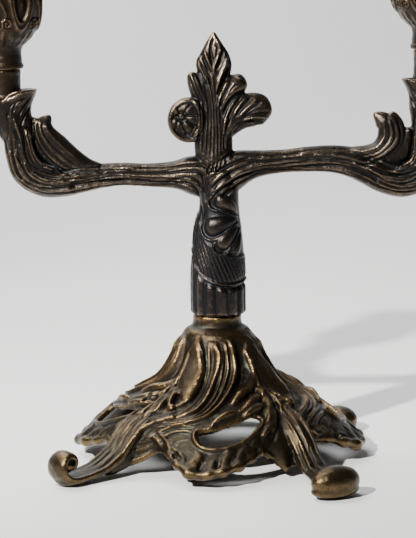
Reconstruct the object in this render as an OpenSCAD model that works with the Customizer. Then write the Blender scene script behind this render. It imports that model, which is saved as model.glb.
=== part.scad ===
// Two-light tabletop candelabra in cast brass.
// The origin is on the table, on the stem's axis. +Z is up and the arms lie along X.

/* [Arms] */
// Distance from the stem's axis to the left candle cup
left_reach = 95.5; // [95:0.1:96]
// Distance from the stem's axis to the right candle cup
right_reach = 98.9; // [98.5:0.1:99.5]
// Height of the left arm's seat, where the cup post stands
left_seat_z = 167; // [165:0.5:169]
// Height of the right arm's seat
right_seat_z = 173; // [171:0.5:175]

/* [Base] */
// Distance from the stem's axis to the middle of a foot
foot_reach = 79; // [78:0.1:80]
// Wall of the bell-shaped base
base_wall = 2.8; // [2.4:0.1:3.2]
// Height of the base's neck, on which the stem stands
neck_z = 66.5; // [66:0.1:67]

/* [Candle cups] */
// Length of the plain post between an arm and its cup
post_len = 14; // [13:0.5:16]
// Radius of the post
post_r = 7.4; // [7:0.1:7.8]
// Radius of the candle's hole in the nozzle
candle_r = 11.2; // [10.8:0.1:11.4]
// Depth of the candle's hole
candle_depth = 24; // [20:1:26]
// Radius of the nozzle's drip pan
pan_r = 22; // [20:0.5:24]

/* [Hidden] */

brass = "#8a6f42";
dark_brass = "#4a4238";
steel = "#9a9a96";

rod_r = 3;             // M6 tie rod and M6 cup studs
rod_gap = 0.3;         // room around a rod or stud
thin = 0.05;           // gap between faces that are clamped together
stem_foot_r = 12.2;    // stem at its lower end
spigot_r = 7.5;        // locating spigot on the neck
spigot_h = 3;
socket_top = 122;      // blind end of the stem's socket for the rod
cup_h = 48;            // candle cup, from its collar to its lip
cup_floor = 14;        // inside floor of the cup
nut_h = 5;
nut_af = 10;           // hexagon of the nuts, across flats
finial_z = 196;        // tip of the finial

// Each foot: [turn about the stem, how much short of foot_reach it stands, height]
feet = [[36, 0, 14], [112, -10, 17], [219, -8, 16], [301, -15, 14]];

// ---------------------------------------------------------------- curves

function unit(v) = v / norm(v);

// Catmull-Rom point between p1 and p2
function between(p0, p1, p2, p3, t) =
    0.5 * (2 * p1 + (p2 - p0) * t + (2 * p0 - 5 * p1 + 4 * p2 - p3) * t * t
           + (3 * p1 - p0 - 3 * p2 + p3) * t * t * t);

// A smooth curve through the stations, with n steps from each to the next
function smooth(stations, n) =
    let (last = len(stations) - 1)
    [for (i = [0:last - 1]) for (k = [0:n - 1])
        between(stations[max(i - 1, 0)], stations[i], stations[i + 1],
                stations[min(i + 2, last)], k / n),
     stations[last]];

// Ring of points around p, with half axes u and v
function ring(p, u, v, n) =
    [for (i = [0:n - 1]) p + u * cos(360 * i / n) + v * sin(360 * i / n)];

// Rings along a path in the XZ plane. A station is [x, z, half height, half depth].
function rings_along(path, n = 12) =
    [for (i = [0:len(path) - 1])
        let (a = path[max(i - 1, 0)],
             b = path[min(i + 1, len(path) - 1)],
             t = unit([b.x - a.x, 0, b.y - a.y]))
        ring([path[i].x, 0, path[i].y], [-t.z, 0, t.x] * path[i][2],
             [0, -path[i][3], 0], n)];

// Solid skin over a list of rings with the same number of points
module skin(rings) {
    n = len(rings[0]);
    last = len(rings) - 1;
    polyhedron(
        points = [for (r = rings) each r],
        faces = [
            [for (i = [0:n - 1]) i],
            [for (i = [0:n - 1]) last * n + n - 1 - i],
            for (j = [0:last - 1]) for (i = [0:n - 1])
                let (k = (i + 1) % n)
                each [[j * n + i, (j + 1) * n + i, (j + 1) * n + k],
                      [j * n + i, (j + 1) * n + k, j * n + k]]
        ]);
}

module limb(stations, steps = 3, sides = 12) {
    skin(rings_along(smooth(stations, steps), sides));
}

// ------------------------------------------------------------------ base

// Turn of foot k, counting on round the base
function foot_turn(k) = feet[k % 4][0] + 360 * floor(k / 4);
// The bay between two feet that holds a turn, and the turn's share of it, 0 to 1
function bay(turn) = [for (k = [0:3]) if (turn >= foot_turn(k) && turn < foot_turn(k + 1)) k][0];
function share(turn) =
    let (k = bay(turn)) (turn - foot_turn(k)) / (foot_turn(k + 1) - foot_turn(k));

// Outside of the bell, [radius, height], from the neck to the rim of an apron
bell = smooth([[11.2, 61.5], [14.8, 59.6], [17.6, 55.5], [20.4, 48], [24.3, 41],
               [29, 35.5], [36, 31], [44, 26.5], [52, 21], [59, 14.5], [66, 6.5]], 2);
bell_last = len(bell) - 1;
bell_steps = 48;
// Rim of a bay from one leg to the next: [share, radius, height]
rim = smooth([[0, 58, 4], [0.12, 53, 8], [0.22, 50, 12.5], [0.33, 55, 12], [0.44, 63, 8.5],
              [0.53, 66, 6.5], [0.65, 65, 8], [0.76, 60, 9.5], [0.86, 54, 12.5],
              [0.93, 53, 9], [1, 58, 4]], 2);
function rim_at(turn, k) = lookup(share(turn), [for (p = rim) [p.x, p[k]]]);

// A point of the bell follows the rim's own shape more, the nearer it is to the rim
function rim_pull(j) = pow(j / bell_last, 6);
function bell_point(turn, j, inset) =
    let (a = bell[max(j - 1, 0)],
         b = bell[min(j + 1, bell_last)],
         t = unit(b - a),
         r = (bell[j].x + inset * t.y)
             * (1 + (rim_at(turn, 1) / bell[bell_last].x - 1) * rim_pull(j)),
         z = bell[j].y - inset * t.x + (rim_at(turn, 2) - bell[bell_last].y) * rim_pull(j))
    [r * cos(turn), r * sin(turn), z];
function bell_ring(j, inset) =
    [for (i = [0:bell_steps - 1]) bell_point(feet[0][0] + 360 * i / bell_steps, j, inset)];
function flat_ring(r, z) = ring([0, 0, z], [r, 0, 0], [0, r, 0], bell_steps);

module bell_solid() {
    skin([for (j = [bell_last:-1:0]) bell_ring(j, 0)]);
}

// Space inside the bell, open to the table
module bell_hollow() {
    skin([flat_ring(90, -20), for (j = [bell_last:-1:3]) bell_ring(j, base_wall)]);
}

// Crescent opening in an apron: [share of the bay, inner radius, outer radius]
crescent = smooth([[0.47, 49, 50.5], [0.53, 46, 53], [0.62, 45, 54], [0.71, 43.5, 53],
                   [0.79, 40, 49], [0.86, 37.5, 43], [0.9, 38.5, 40]], 2);
module crescent_cut(k) {
    far = len(crescent) - 1;
    span = foot_turn(k + 1) - foot_turn(k);
    turns = [for (p = crescent) foot_turn(k) + span * p.x];
    linear_extrude(60)
        polygon([for (i = [0:far]) crescent[i][2] * [cos(turns[i]), sin(turns[i])],
                 for (i = [far:-1:0]) crescent[i][1] * [cos(turns[i]), sin(turns[i])]]);
}

// A leg along +X that ends in a rolled knuckle standing on a flat
knuckle_w = 20;
knuckle_l = 15;
module leg(reach, height) {
    limb([[20, 26, 9, 8], [34, 21.5, 10.5, 9], [43, 19.3, 10.8, 9.2], [50, 15.3, 10.6, 9],
          [56, 11.3, 9.4, 8.4], [62, 7.4, 6.6, 8], [68, 5.4, 4.6, 8],
          [reach, 5, 4.2, 8.5]], 2, 16);
    hull() {
        translate([reach, 0, height / 2 + 0.4])
            scale([knuckle_l / height, knuckle_w / height, 1]) sphere(d = height - 0.8, $fn = 20);
        translate([reach - 0.5, 0, 0]) scale([0.8, 1.2, 1]) cylinder(r = 7, h = 1, $fn = 32);
    }
    // the strap broadens into the knuckle
    hull() {
        translate([reach - 11, 0, 5]) scale([1, 1.3, 0.7]) sphere(r = 6, $fn = 16);
        translate([reach - 2, 0, 5.2]) scale([1, 1.5, 0.8]) sphere(r = 6, $fn = 16);
    }
}

module base_casting() {
    color(brass) difference() {
        union() {
            difference() {
                bell_solid();
                bell_hollow();
                for (k = [0:3]) crescent_cut(k);
            }
            difference() {
                for (f = feet) rotate(f[0]) leg(foot_reach - f[1], f[2]);
                translate([0, 0, -1]) cylinder(r = 28, h = 45, $fn = 48);
            }
            translate([0, 0, 50]) cylinder(r = 11.2, h = neck_z - 50, $fn = 64);
            translate([0, 0, neck_z - 1]) cylinder(r = spigot_r, h = spigot_h + 1, $fn = 48);
        }
        translate([0, 0, 40]) cylinder(r = rod_r + rod_gap, h = 40, $fn = 32);
    }
}

// ---------------------------------------------------------------- branch

// Each arm's middle line, outwards from the stem: [x, z, half height, half depth].
// A last station brings it to the seat.
left_arm = [[0, 129, 10, 7.5], [11, 131, 8.8, 6.6], [19, 131.2, 6.3, 5.6],
            [30, 131.2, 5.4, 5.2], [42, 131.9, 5.2, 5], [52, 131.3, 5.7, 5.2],
            [61, 130.3, 6.6, 5.8], [70, 129.3, 7.4, 6.4], [78, 130, 8, 7],
            [85, 134.2, 8, 7.4], [88.4, 141.5, 7.2, 7.4], [89.6, 150, 7, 7.4],
            [92, 158, 7.6, 8], [left_reach - 1, left_seat_z - 3, 8.4, 8.4]];
right_arm = [[0, 128, 10, 7.5], [10, 133.4, 8.6, 6.6], [19, 135.6, 6.3, 5.6],
             [31, 136.6, 5.3, 5.2], [43, 137.4, 5.8, 5], [53, 137.4, 6.2, 5.2],
             [62, 136.2, 6.9, 5.8], [70, 134.2, 7.6, 6.4], [78, 131.2, 8, 7],
             [87, 130.6, 8.6, 7.4], [94, 135, 8.2, 7.4], [96.6, 143, 7.4, 7.4],
             [97, 152, 7, 7.4], [97, 162, 7.8, 8], [right_reach - 1, right_seat_z - 3, 8.4, 8.4]];
// The smaller leaf that springs from each arm
left_leaf = [[56, 130.5, 4, 4.4], [66, 134.5, 6, 4.6], [74, 141, 6, 4.6], [79, 148, 5.4, 4.4],
             [79.6, 153.4, 4, 3.6], [77.8, 157, 2.2, 2.6], [74.4, 158.6, 0.6, 1.2]];
right_leaf = [[58, 137.5, 4.6, 4.4], [68, 139.4, 6, 4.6], [76, 144, 6.6, 4.6],
              [80, 150.6, 6, 4.2], [79.2, 155.8, 4, 3.4], [76, 158.8, 2, 2.4],
              [72.2, 158.6, 0.8, 1.2]];

// Leafy cup at an arm's end, with a flat seat for the post
module calyx(reach, seat_z) {
    translate([reach, 0, seat_z - 12]) cylinder(r1 = 7, r2 = 10, h = 12.4, $fn = 40);
    for (s = [-1, 1]) {
        hull() {
            translate([reach + s * 4, 0, seat_z - 12]) scale([1, 1.2, 1]) sphere(r = 5, $fn = 20);
            translate([reach + s * 9, 0, seat_z - 3.5]) scale([1, 2, 1]) sphere(r = 3, $fn = 20);
        }
        hull() {
            translate([reach + s * 9, 0, seat_z - 3.5]) scale([1, 2, 1]) sphere(r = 3, $fn = 20);
            translate([reach + s * 14.6, 0, seat_z + 1.2]) sphere(r = 1.2, $fn = 16);
        }
    }
}

module arm(path, leaf, reach, seat_z) {
    difference() {
        union() {
            limb(path, 2);
            limb(leaf, 2, 10);
            calyx(reach, seat_z);
        }
        translate([reach, 0, seat_z]) cylinder(r = post_r + 0.2, h = 20, $fn = 40);
        translate([reach, 0, seat_z - 10]) cylinder(r = rod_r + rod_gap, h = 20, $fn = 32);
    }
}

module finial() {
    // middle leaf
    limb([[1, 130, 11, 7], [0.8, 142, 8.6, 6.6], [0.4, 151, 8, 5.8], [0.3, 162, 8.2, 5],
          [0.3, 172, 8, 4.6], [0.3, 182, 8.2, 4], [0.4, 189, 5.4, 3.2],
          [0.6, finial_z, 0.5, 0.8]], 2);
    // two side lobes on the right, one on the left
    limb([[2, 160, 4, 4], [6, 168, 4.6, 3.6], [10.4, 172.6, 4.4, 3.2], [12.6, 174.6, 2.6, 2.4]],
         2, 10);
    limb([[0, 152, 6, 4.4], [8, 158, 6.6, 4.2], [14.6, 160.4, 7.2, 3.8], [20.5, 160, 6.8, 3.4],
          [25, 159.2, 3.4, 2]], 2, 10);
    limb([[-2, 166, 3.4, 3.6], [-6, 172.5, 3, 3], [-8.8, 175.6, 2.8, 2.4],
          [-11, 177.6, 1.2, 1.4]], 2, 10);
    // rolled rosette on the left
    hull() {
        translate([-12.8, 0, 156.6]) rotate([90, 0, 0])
            cylinder(r = 8, h = 9, center = true, $fn = 32);
        translate([-4, 0, 152]) sphere(r = 4, $fn = 16);
    }
}

module stem() {
    // [radius, height] of the fluted foot, the waist and the shoulder
    rotate_extrude($fn = 64) polygon([[0, neck_z + thin], [11, neck_z + thin],
        [stem_foot_r - 0.3, neck_z + 0.7], [stem_foot_r, neck_z + 2],
        [stem_foot_r, 84], [11.8, 91], [11.2, 100], [10.2, 108], [9.2, 116], [8.6, 124],
        [8, 134], [0, 134]]);
    // shell that hangs on the stem's front
    hull() {
        translate([2, -7, 100]) sphere(r = 5, $fn = 16);
        translate([1, -5.5, 116]) sphere(r = 4, $fn = 16);
    }
}

module branch_casting() {
    color(dark_brass) difference() {
        union() {
            mirror([1, 0, 0]) arm(left_arm, left_leaf, left_reach, left_seat_z);
            arm(right_arm, right_leaf, right_reach, right_seat_z);
            finial();
            stem();
        }
        translate([0, 0, neck_z - 1]) cylinder(r = spigot_r + rod_gap, h = spigot_h + 1.5, $fn = 48);
        translate([0, 0, neck_z]) cylinder(r = 4.5, h = 40, $fn = 32);
        translate([0, 0, neck_z]) cylinder(r = rod_r + rod_gap, h = socket_top - neck_z, $fn = 32);
    }
}

// ------------------------------------------------------------ fastenings

washer_z = 47;         // underside of the neck's boss, less the washer
washer_h = 2.9;
module tie_rod() {
    color(steel) translate([0, 0, washer_z - nut_h - 3])
        cylinder(r = rod_r, h = socket_top - 2 - (washer_z - nut_h - 3), $fn = 48);
}
module tie_washer() {
    color(steel) translate([0, 0, washer_z]) difference() {
        cylinder(r = 11, h = washer_h, $fn = 48);
        translate([0, 0, -1]) cylinder(r = rod_r + rod_gap, h = washer_h + 2, $fn = 32);
    }
}
module hex_nut() {
    difference() {
        cylinder(d = nut_af / cos(30), h = nut_h, $fn = 6);
        translate([0, 0, -1]) cylinder(r = rod_r + 0.02, h = nut_h + 2, $fn = 48);
    }
}
module tie_nut() {
    color(steel) translate([0, 0, washer_z - thin - nut_h]) hex_nut();
}

// ---------------------------------------------------------- candle lights

// Puts a part on the post of one arm: side is -1 for the left and 1 for the right
module on_arm(side) {
    if (side < 0) translate([-left_reach, 0, left_seat_z]) children();
    else translate([right_reach, 0, right_seat_z]) children();
}

module cup_post(side) {
    color(brass) on_arm(side) difference() {
        translate([0, 0, thin]) cylinder(r = post_r, h = post_len - 2 * thin, $fn = 64);
        translate([0, 0, -1]) cylinder(r = rod_r + rod_gap, h = post_len + 2, $fn = 48);
    }
}
module cup_stud(side) {
    color(steel) on_arm(side)
        translate([0, 0, -9]) cylinder(r = rod_r, h = post_len + cup_floor + nut_h + 11, $fn = 48);
}
module cup_nut(side) {
    color(steel) on_arm(side) translate([0, 0, post_len + cup_floor + thin]) hex_nut();
}

// Cup outside, [radius, height] from the collar's underside
cup_outside = smooth([[8, 4.6], [7.8, 7], [8.4, 9.6], [10.4, 12], [13, 14.4], [15.4, 18],
                      [17, 22], [17.9, 27], [17.9, 32], [17, 37], [15.3, 41.5], [14.4, 44.5]], 3);
module candle_cup(side) {
    color(brass) on_arm(side) translate([0, 0, post_len]) difference() {
        rotate_extrude($fn = 96) polygon([[0, 0], [8.2, 0], [8.6, 0.5], [8.6, 2.2],
            each cup_outside, [15.2, 46], [15.6, 47.2], [15.2, cup_h], [0, cup_h]]);
        // hollow above the floor, and the hole for the stud
        rotate_extrude($fn = 96) polygon([[0, cup_floor], [9, cup_floor], [12.4, 18], [14.6, 23],
            [15.4, 28], [15.2, 33], [14, 38.5], [13.2, 42], [13.2, cup_h + 1], [0, cup_h + 1]]);
        translate([0, 0, -1]) cylinder(r = rod_r + rod_gap, h = cup_floor + 2, $fn = 48);
    }
}

// Lift-out nozzle: candle tube with a dished drip pan that rests on the cup's lip
pan_h = 3;
tube_r = 12.7;
module nozzle(side) {
    color(brass) on_arm(side) translate([0, 0, post_len + cup_h + thin]) {
        rotate_extrude($fn = 96) polygon([
            [0, -candle_depth - 1.5], [tube_r - 0.8, -candle_depth - 1.5], [tube_r, -candle_depth],
            [tube_r, 0], [16, 0], [pan_r - 1.5, 1.6], [pan_r, 2.6], [pan_r - 0.2, pan_h + 0.6],
            [pan_r - 1.2, pan_h + 0.6], [pan_r - 2.4, 3], [16, 1.6], [13.4, 1.8], [13, pan_h],
            [12.4, pan_h + 0.5], [candle_r, pan_h + 0.5], [candle_r, -candle_depth + pan_h + 0.5],
            [0, -candle_depth + pan_h + 0.5]]);
    }
}

base_casting();
branch_casting();
tie_rod();
tie_washer();
tie_nut();
cup_post(-1);  // cup_post_left
cup_post(1);  // cup_post_right
cup_stud(-1);  // cup_stud_left
cup_stud(1);  // cup_stud_right
candle_cup(-1);  // candle_cup_left
candle_cup(1);  // candle_cup_right
cup_nut(-1);  // cup_nut_left
cup_nut(1);  // cup_nut_right
nozzle(-1);  // nozzle_left
nozzle(1);  // nozzle_right
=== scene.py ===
"""Looks of the two-light candelabra: carved castings, patina, floor, light and camera.

Lengths inside the shape code are in millimetres; mesh_object() turns them into metres.
"""

import math

import bmesh
import bpy
import numpy as np
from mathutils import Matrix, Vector


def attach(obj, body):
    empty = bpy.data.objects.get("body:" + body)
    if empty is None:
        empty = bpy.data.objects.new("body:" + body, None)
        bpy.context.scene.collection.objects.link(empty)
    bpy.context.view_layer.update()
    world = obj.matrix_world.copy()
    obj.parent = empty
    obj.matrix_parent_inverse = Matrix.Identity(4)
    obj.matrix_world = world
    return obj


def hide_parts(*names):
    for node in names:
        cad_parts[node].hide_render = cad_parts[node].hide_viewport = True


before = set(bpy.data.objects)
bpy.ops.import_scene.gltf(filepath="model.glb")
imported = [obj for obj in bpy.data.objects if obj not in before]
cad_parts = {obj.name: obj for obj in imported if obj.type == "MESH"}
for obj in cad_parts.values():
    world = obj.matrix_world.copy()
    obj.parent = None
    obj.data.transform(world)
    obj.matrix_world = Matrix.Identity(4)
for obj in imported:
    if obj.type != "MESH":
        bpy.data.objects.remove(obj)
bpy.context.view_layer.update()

BASE_VOXEL = 0.52
BRANCH_VOXEL = 0.42
WEAR_ROUNDS = 220
TAU = 2 * math.pi
rng = np.random.default_rng(7)


# ---------------------------------------------------------------- shape tools

def spline(stations, n):
    """Catmull-Rom curve through the stations, at n even steps of its parameter."""
    p = np.array(stations, float)
    if p.ndim == 1:
        p = p[:, None]
    k = len(p)
    e = np.vstack([2 * p[0] - p[1], p, 2 * p[-1] - p[-2]])
    t = np.linspace(0, k - 1, n)
    i = np.minimum(t.astype(int), k - 2)
    f = (t - i)[:, None]
    a, b, c, d = e[i], e[i + 1], e[i + 2], e[i + 3]
    return 0.5 * (2 * b + (c - a) * f + (2 * a - 5 * b + 4 * c - d) * f * f
                  + (3 * b - a - 3 * c + d) * f ** 3)


def unit(v):
    return v / np.maximum(np.linalg.norm(v, axis=-1, keepdims=True), 1e-9)


def around(n):
    """The angles of n points round a ring."""
    return np.arange(n) * TAU / n


def grid_faces(rows, cols):
    """Quads of a rows x cols grid of vertices, closed round the columns."""
    i = np.arange(rows - 1)[:, None]
    j = np.arange(cols)[None, :]
    k = (j + 1) % cols
    return np.stack([i * cols + j, i * cols + k, (i + 1) * cols + k, (i + 1) * cols + j],
                    -1).reshape(-1, 4)


def closed_tube(rings):
    """Rings of points (rows x cols x 3) as a closed skin with a point at each end."""
    rows, cols = rings.shape[:2]
    verts = np.vstack([rings.reshape(-1, 3), rings[0].mean(0), rings[-1].mean(0)])
    quads = grid_faces(rows, cols)
    j = np.arange(cols)
    k = (j + 1) % cols
    first, last = rows * cols, rows * cols + 1
    caps = [np.stack([k, j, np.full(cols, first)], -1),
            np.stack([(rows - 1) * cols + j, (rows - 1) * cols + k, np.full(cols, last)], -1)]
    return verts, [quads, *caps]


def sweep(path, width, height, up, ring=32, relief=None, ends=0.06, edge=1.0):
    """An oval section swept along a path. width and height are half sizes along it.

    up is the direction of the height. relief(v, angle) adds to the section's radius.
    ends is the share of the length over which each end closes. edge pinches or fills
    the section.
    """
    n = len(path)
    tangent = unit(np.gradient(path, axis=0))
    up = np.broadcast_to(np.array(up, float), path.shape)
    side = unit(np.cross(tangent, up))
    normal = np.cross(side, tangent)
    v = np.linspace(0, 1, n)
    close = np.sqrt(np.clip(1 - np.clip(1 - np.minimum(v, 1 - v) / ends, 0, 1) ** 2, 1e-4, 1))
    a = around(ring)
    c, s = np.cos(a), np.sin(a)
    s = np.sign(s) * np.abs(s) ** (1 / edge)
    w = (width * close)[:, None]
    h = (height * close)[:, None]
    if relief is not None:
        extra = relief(v[:, None], a[None, :]) * close[:, None]
        w = w + extra
        h = h + extra
    return closed_tube(path[:, None, :] + side[:, None, :] * (w * c)[:, :, None]
                       + normal[:, None, :] * (h * s)[:, :, None])


def flat_sweep(stations, n=60, ring=28, relief=None, ends=0.06, edge=1.0):
    """A sweep in the XZ plane. A station is (x, z, half height, half depth[, y])."""
    st = spline(stations, n)
    offset = st[:, 4] if st.shape[1] > 4 else np.zeros(n)
    path = np.stack([st[:, 0], offset, st[:, 1]], -1)
    return sweep(path, np.maximum(st[:, 2], 0.2), np.maximum(st[:, 3], 0.2), (0, -1, 0),
                 ring, relief, ends, edge)


def ball(centre, radii, n=24):
    a = np.linspace(0.02, math.pi - 0.02, n)[:, None]
    b = around(2 * n)[None, :]
    p = np.stack([np.sin(a) * np.cos(b), np.sin(a) * np.sin(b), np.cos(a) + 0 * b], -1)
    return closed_tube((np.array(centre) + p * np.array(radii))[::-1])


def turn(part, degrees):
    """A part turned about the stem."""
    v, f = part
    c, s = math.cos(math.radians(degrees)), math.sin(math.radians(degrees))
    return v @ np.array([[c, -s, 0], [s, c, 0], [0, 0, 1]]).T, f


def mirror_x(part):
    v, f = part
    return v * [-1, 1, 1], [q[:, ::-1] for q in f]


def merge(parts):
    verts, faces, base = [], [], 0
    for v, fs in parts:
        verts.append(v)
        faces += [f + base for f in fs]
        base += len(v)
    return np.vstack(verts), faces


def place(name, data):
    """An object of the scene for a mesh, a light or a camera."""
    o = bpy.data.objects.new(name, data)
    bpy.context.scene.collection.objects.link(o)
    return o


def mesh_object(name, part):
    """A mesh object from vertices in millimetres and arrays of faces."""
    verts, faces = part
    me = bpy.data.meshes.new(name)
    me.vertices.add(len(verts))
    me.vertices.foreach_set("co", (verts * 0.001).astype(np.float32).ravel())
    counts = np.concatenate([np.full(len(f), f.shape[1]) for f in faces])
    loops = np.concatenate([f.ravel() for f in faces])
    me.loops.add(len(loops))
    me.loops.foreach_set("vertex_index", loops.astype(np.int32))
    me.polygons.add(len(counts))
    starts = np.concatenate([[0], np.cumsum(counts)[:-1]])
    me.polygons.foreach_set("loop_start", starts.astype(np.int32))
    me.update(calc_edges=True)
    me.validate()
    return place(name, me)


def fuse(o, voxel):
    """Melts overlapping skins into one even skin, as in a casting."""
    m = o.modifiers.new("fuse", "REMESH")
    m.mode = "VOXEL"
    m.voxel_size = voxel * 0.001
    m.adaptivity = 0
    bpy.context.view_layer.update()
    deps = bpy.context.evaluated_depsgraph_get()
    new = bpy.data.meshes.new_from_object(o.evaluated_get(deps))
    old = o.data
    o.modifiers.clear()
    o.data = new
    new.name = o.name
    bpy.data.meshes.remove(old)


def points(me):
    co = np.empty(len(me.vertices) * 3, np.float32)
    me.vertices.foreach_get("co", co)
    return co.reshape(-1, 3).astype(float) * 1000


def normals(me):
    n = np.empty(len(me.vertices) * 3, np.float32)
    me.vertices.foreach_get("normal", n)
    return n.reshape(-1, 3).astype(float)


def edges(me):
    e = np.empty(len(me.edges) * 2, np.int32)
    me.edges.foreach_get("vertices", e)
    return e.reshape(-1, 2)


def relax(co, e, rounds, share=0.5):
    """Moves every point towards the mean of its neighbours."""
    deg = np.bincount(e.ravel(), minlength=len(co)).astype(float)
    deg[deg == 0] = 1
    for _ in range(rounds):
        mean = np.stack([np.bincount(e[:, 0], co[e[:, 1], k], len(co))
                         + np.bincount(e[:, 1], co[e[:, 0], k], len(co))
                         for k in range(3)], -1) / deg[:, None]
        co = co + (mean - co) * share
    return co


def put_points(me, co):
    me.vertices.foreach_set("co", (co * 0.001).astype(np.float32).ravel())
    me.update()


def mark_wear(me, scale=0.35):
    """Stores how far each point stands out of (+) or lies in (-) its surroundings."""
    co, e = points(me), edges(me)
    n = normals(me)
    wear, smooth, done = 0, co, 0
    for rounds, share in ((14, 0.72), (56, 0.62), (WEAR_ROUNDS, 0.2)):
        smooth = relax(smooth, e, rounds - done)
        done = rounds
        wear = wear + share * ((co - smooth) * n).sum(1) / scale
    a = me.attributes.new("wear", "FLOAT", "POINT")
    wear = np.where(wear > 0, 1.25 * np.tanh(wear / 1.25), 1.8 * np.tanh(wear / 1.8))
    a.data.foreach_set("value", wear.astype(np.float32))


def stroke_lift(p, strokes):
    """Height that carved strokes give points p. A stroke is (line, height, width).

    Works on points and lines of two or three coordinates. Negative heights are grooves.
    """
    lift = np.zeros(len(p))
    for line, height, width in strokes:
        reach = 2.2 * width
        lo, hi = line.min(0) - reach, line.max(0) + reach
        near = np.flatnonzero(((p >= lo) & (p <= hi)).all(1))
        if not len(near):
            continue
        a, b = line[:-1], line[1:]
        d = b - a
        dd = np.maximum((d * d).sum(1), 1e-9)
        taper = np.clip(np.minimum(np.arange(len(a)), np.arange(len(a))[::-1]) / (0.14 * len(a)),
                        0.15, 1)
        for part in np.array_split(near, max(1, len(near) * len(a) // 4000000 + 1)):
            x = p[part]
            t = np.clip(((x[:, None] - a) * d).sum(2) / dd, 0, 1)
            dist = ((x[:, None] - (a + t[:, :, None] * d)) ** 2).sum(2)
            k = dist.argmin(1)
            near_d = np.sqrt(dist[np.arange(len(part)), k])
            lift[part] += height * taper[k] * np.exp(-(near_d / width) ** 2)
    return lift


def noise3(p, size, seed=0):
    """Smooth value noise of points p, about -1 to 1."""
    g = np.random.default_rng(seed).uniform(-1, 1, (32, 32, 32))
    q = p / size + 100
    i = np.floor(q).astype(int)
    f = q - i
    f = f * f * (3 - 2 * f)
    out = 0
    for dx in (0, 1):
        for dy in (0, 1):
            for dz in (0, 1):
                w = (np.where(dx, f[:, 0], 1 - f[:, 0]) * np.where(dy, f[:, 1], 1 - f[:, 1])
                     * np.where(dz, f[:, 2], 1 - f[:, 2]))
                out = out + w * g[(i[:, 0] + dx) % 32, (i[:, 1] + dy) % 32, (i[:, 2] + dz) % 32]
    return out


def finish_casting(o, material, body, nodes, lift=None, rough=0.06, wear_scale=0.55):
    """Carves a fused skin, marks its wear and puts it in place of its CAD node."""
    me = o.data
    co, n = points(me), normals(me)
    if lift is not None:
        co = co + n * lift(co, n)[:, None]
    co = co + n * (rough * (noise3(co, 1.7, 1) + noise3(co, 4.5, 2)))[:, None]
    co[:, 2] = np.maximum(co[:, 2], 0)
    put_points(me, co)
    mark_wear(me, wear_scale)
    me.shade_smooth()
    me.materials.clear()
    me.materials.append(material)
    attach(o, body)
    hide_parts(*nodes)


# ------------------------------------------------------------------ materials

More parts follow.
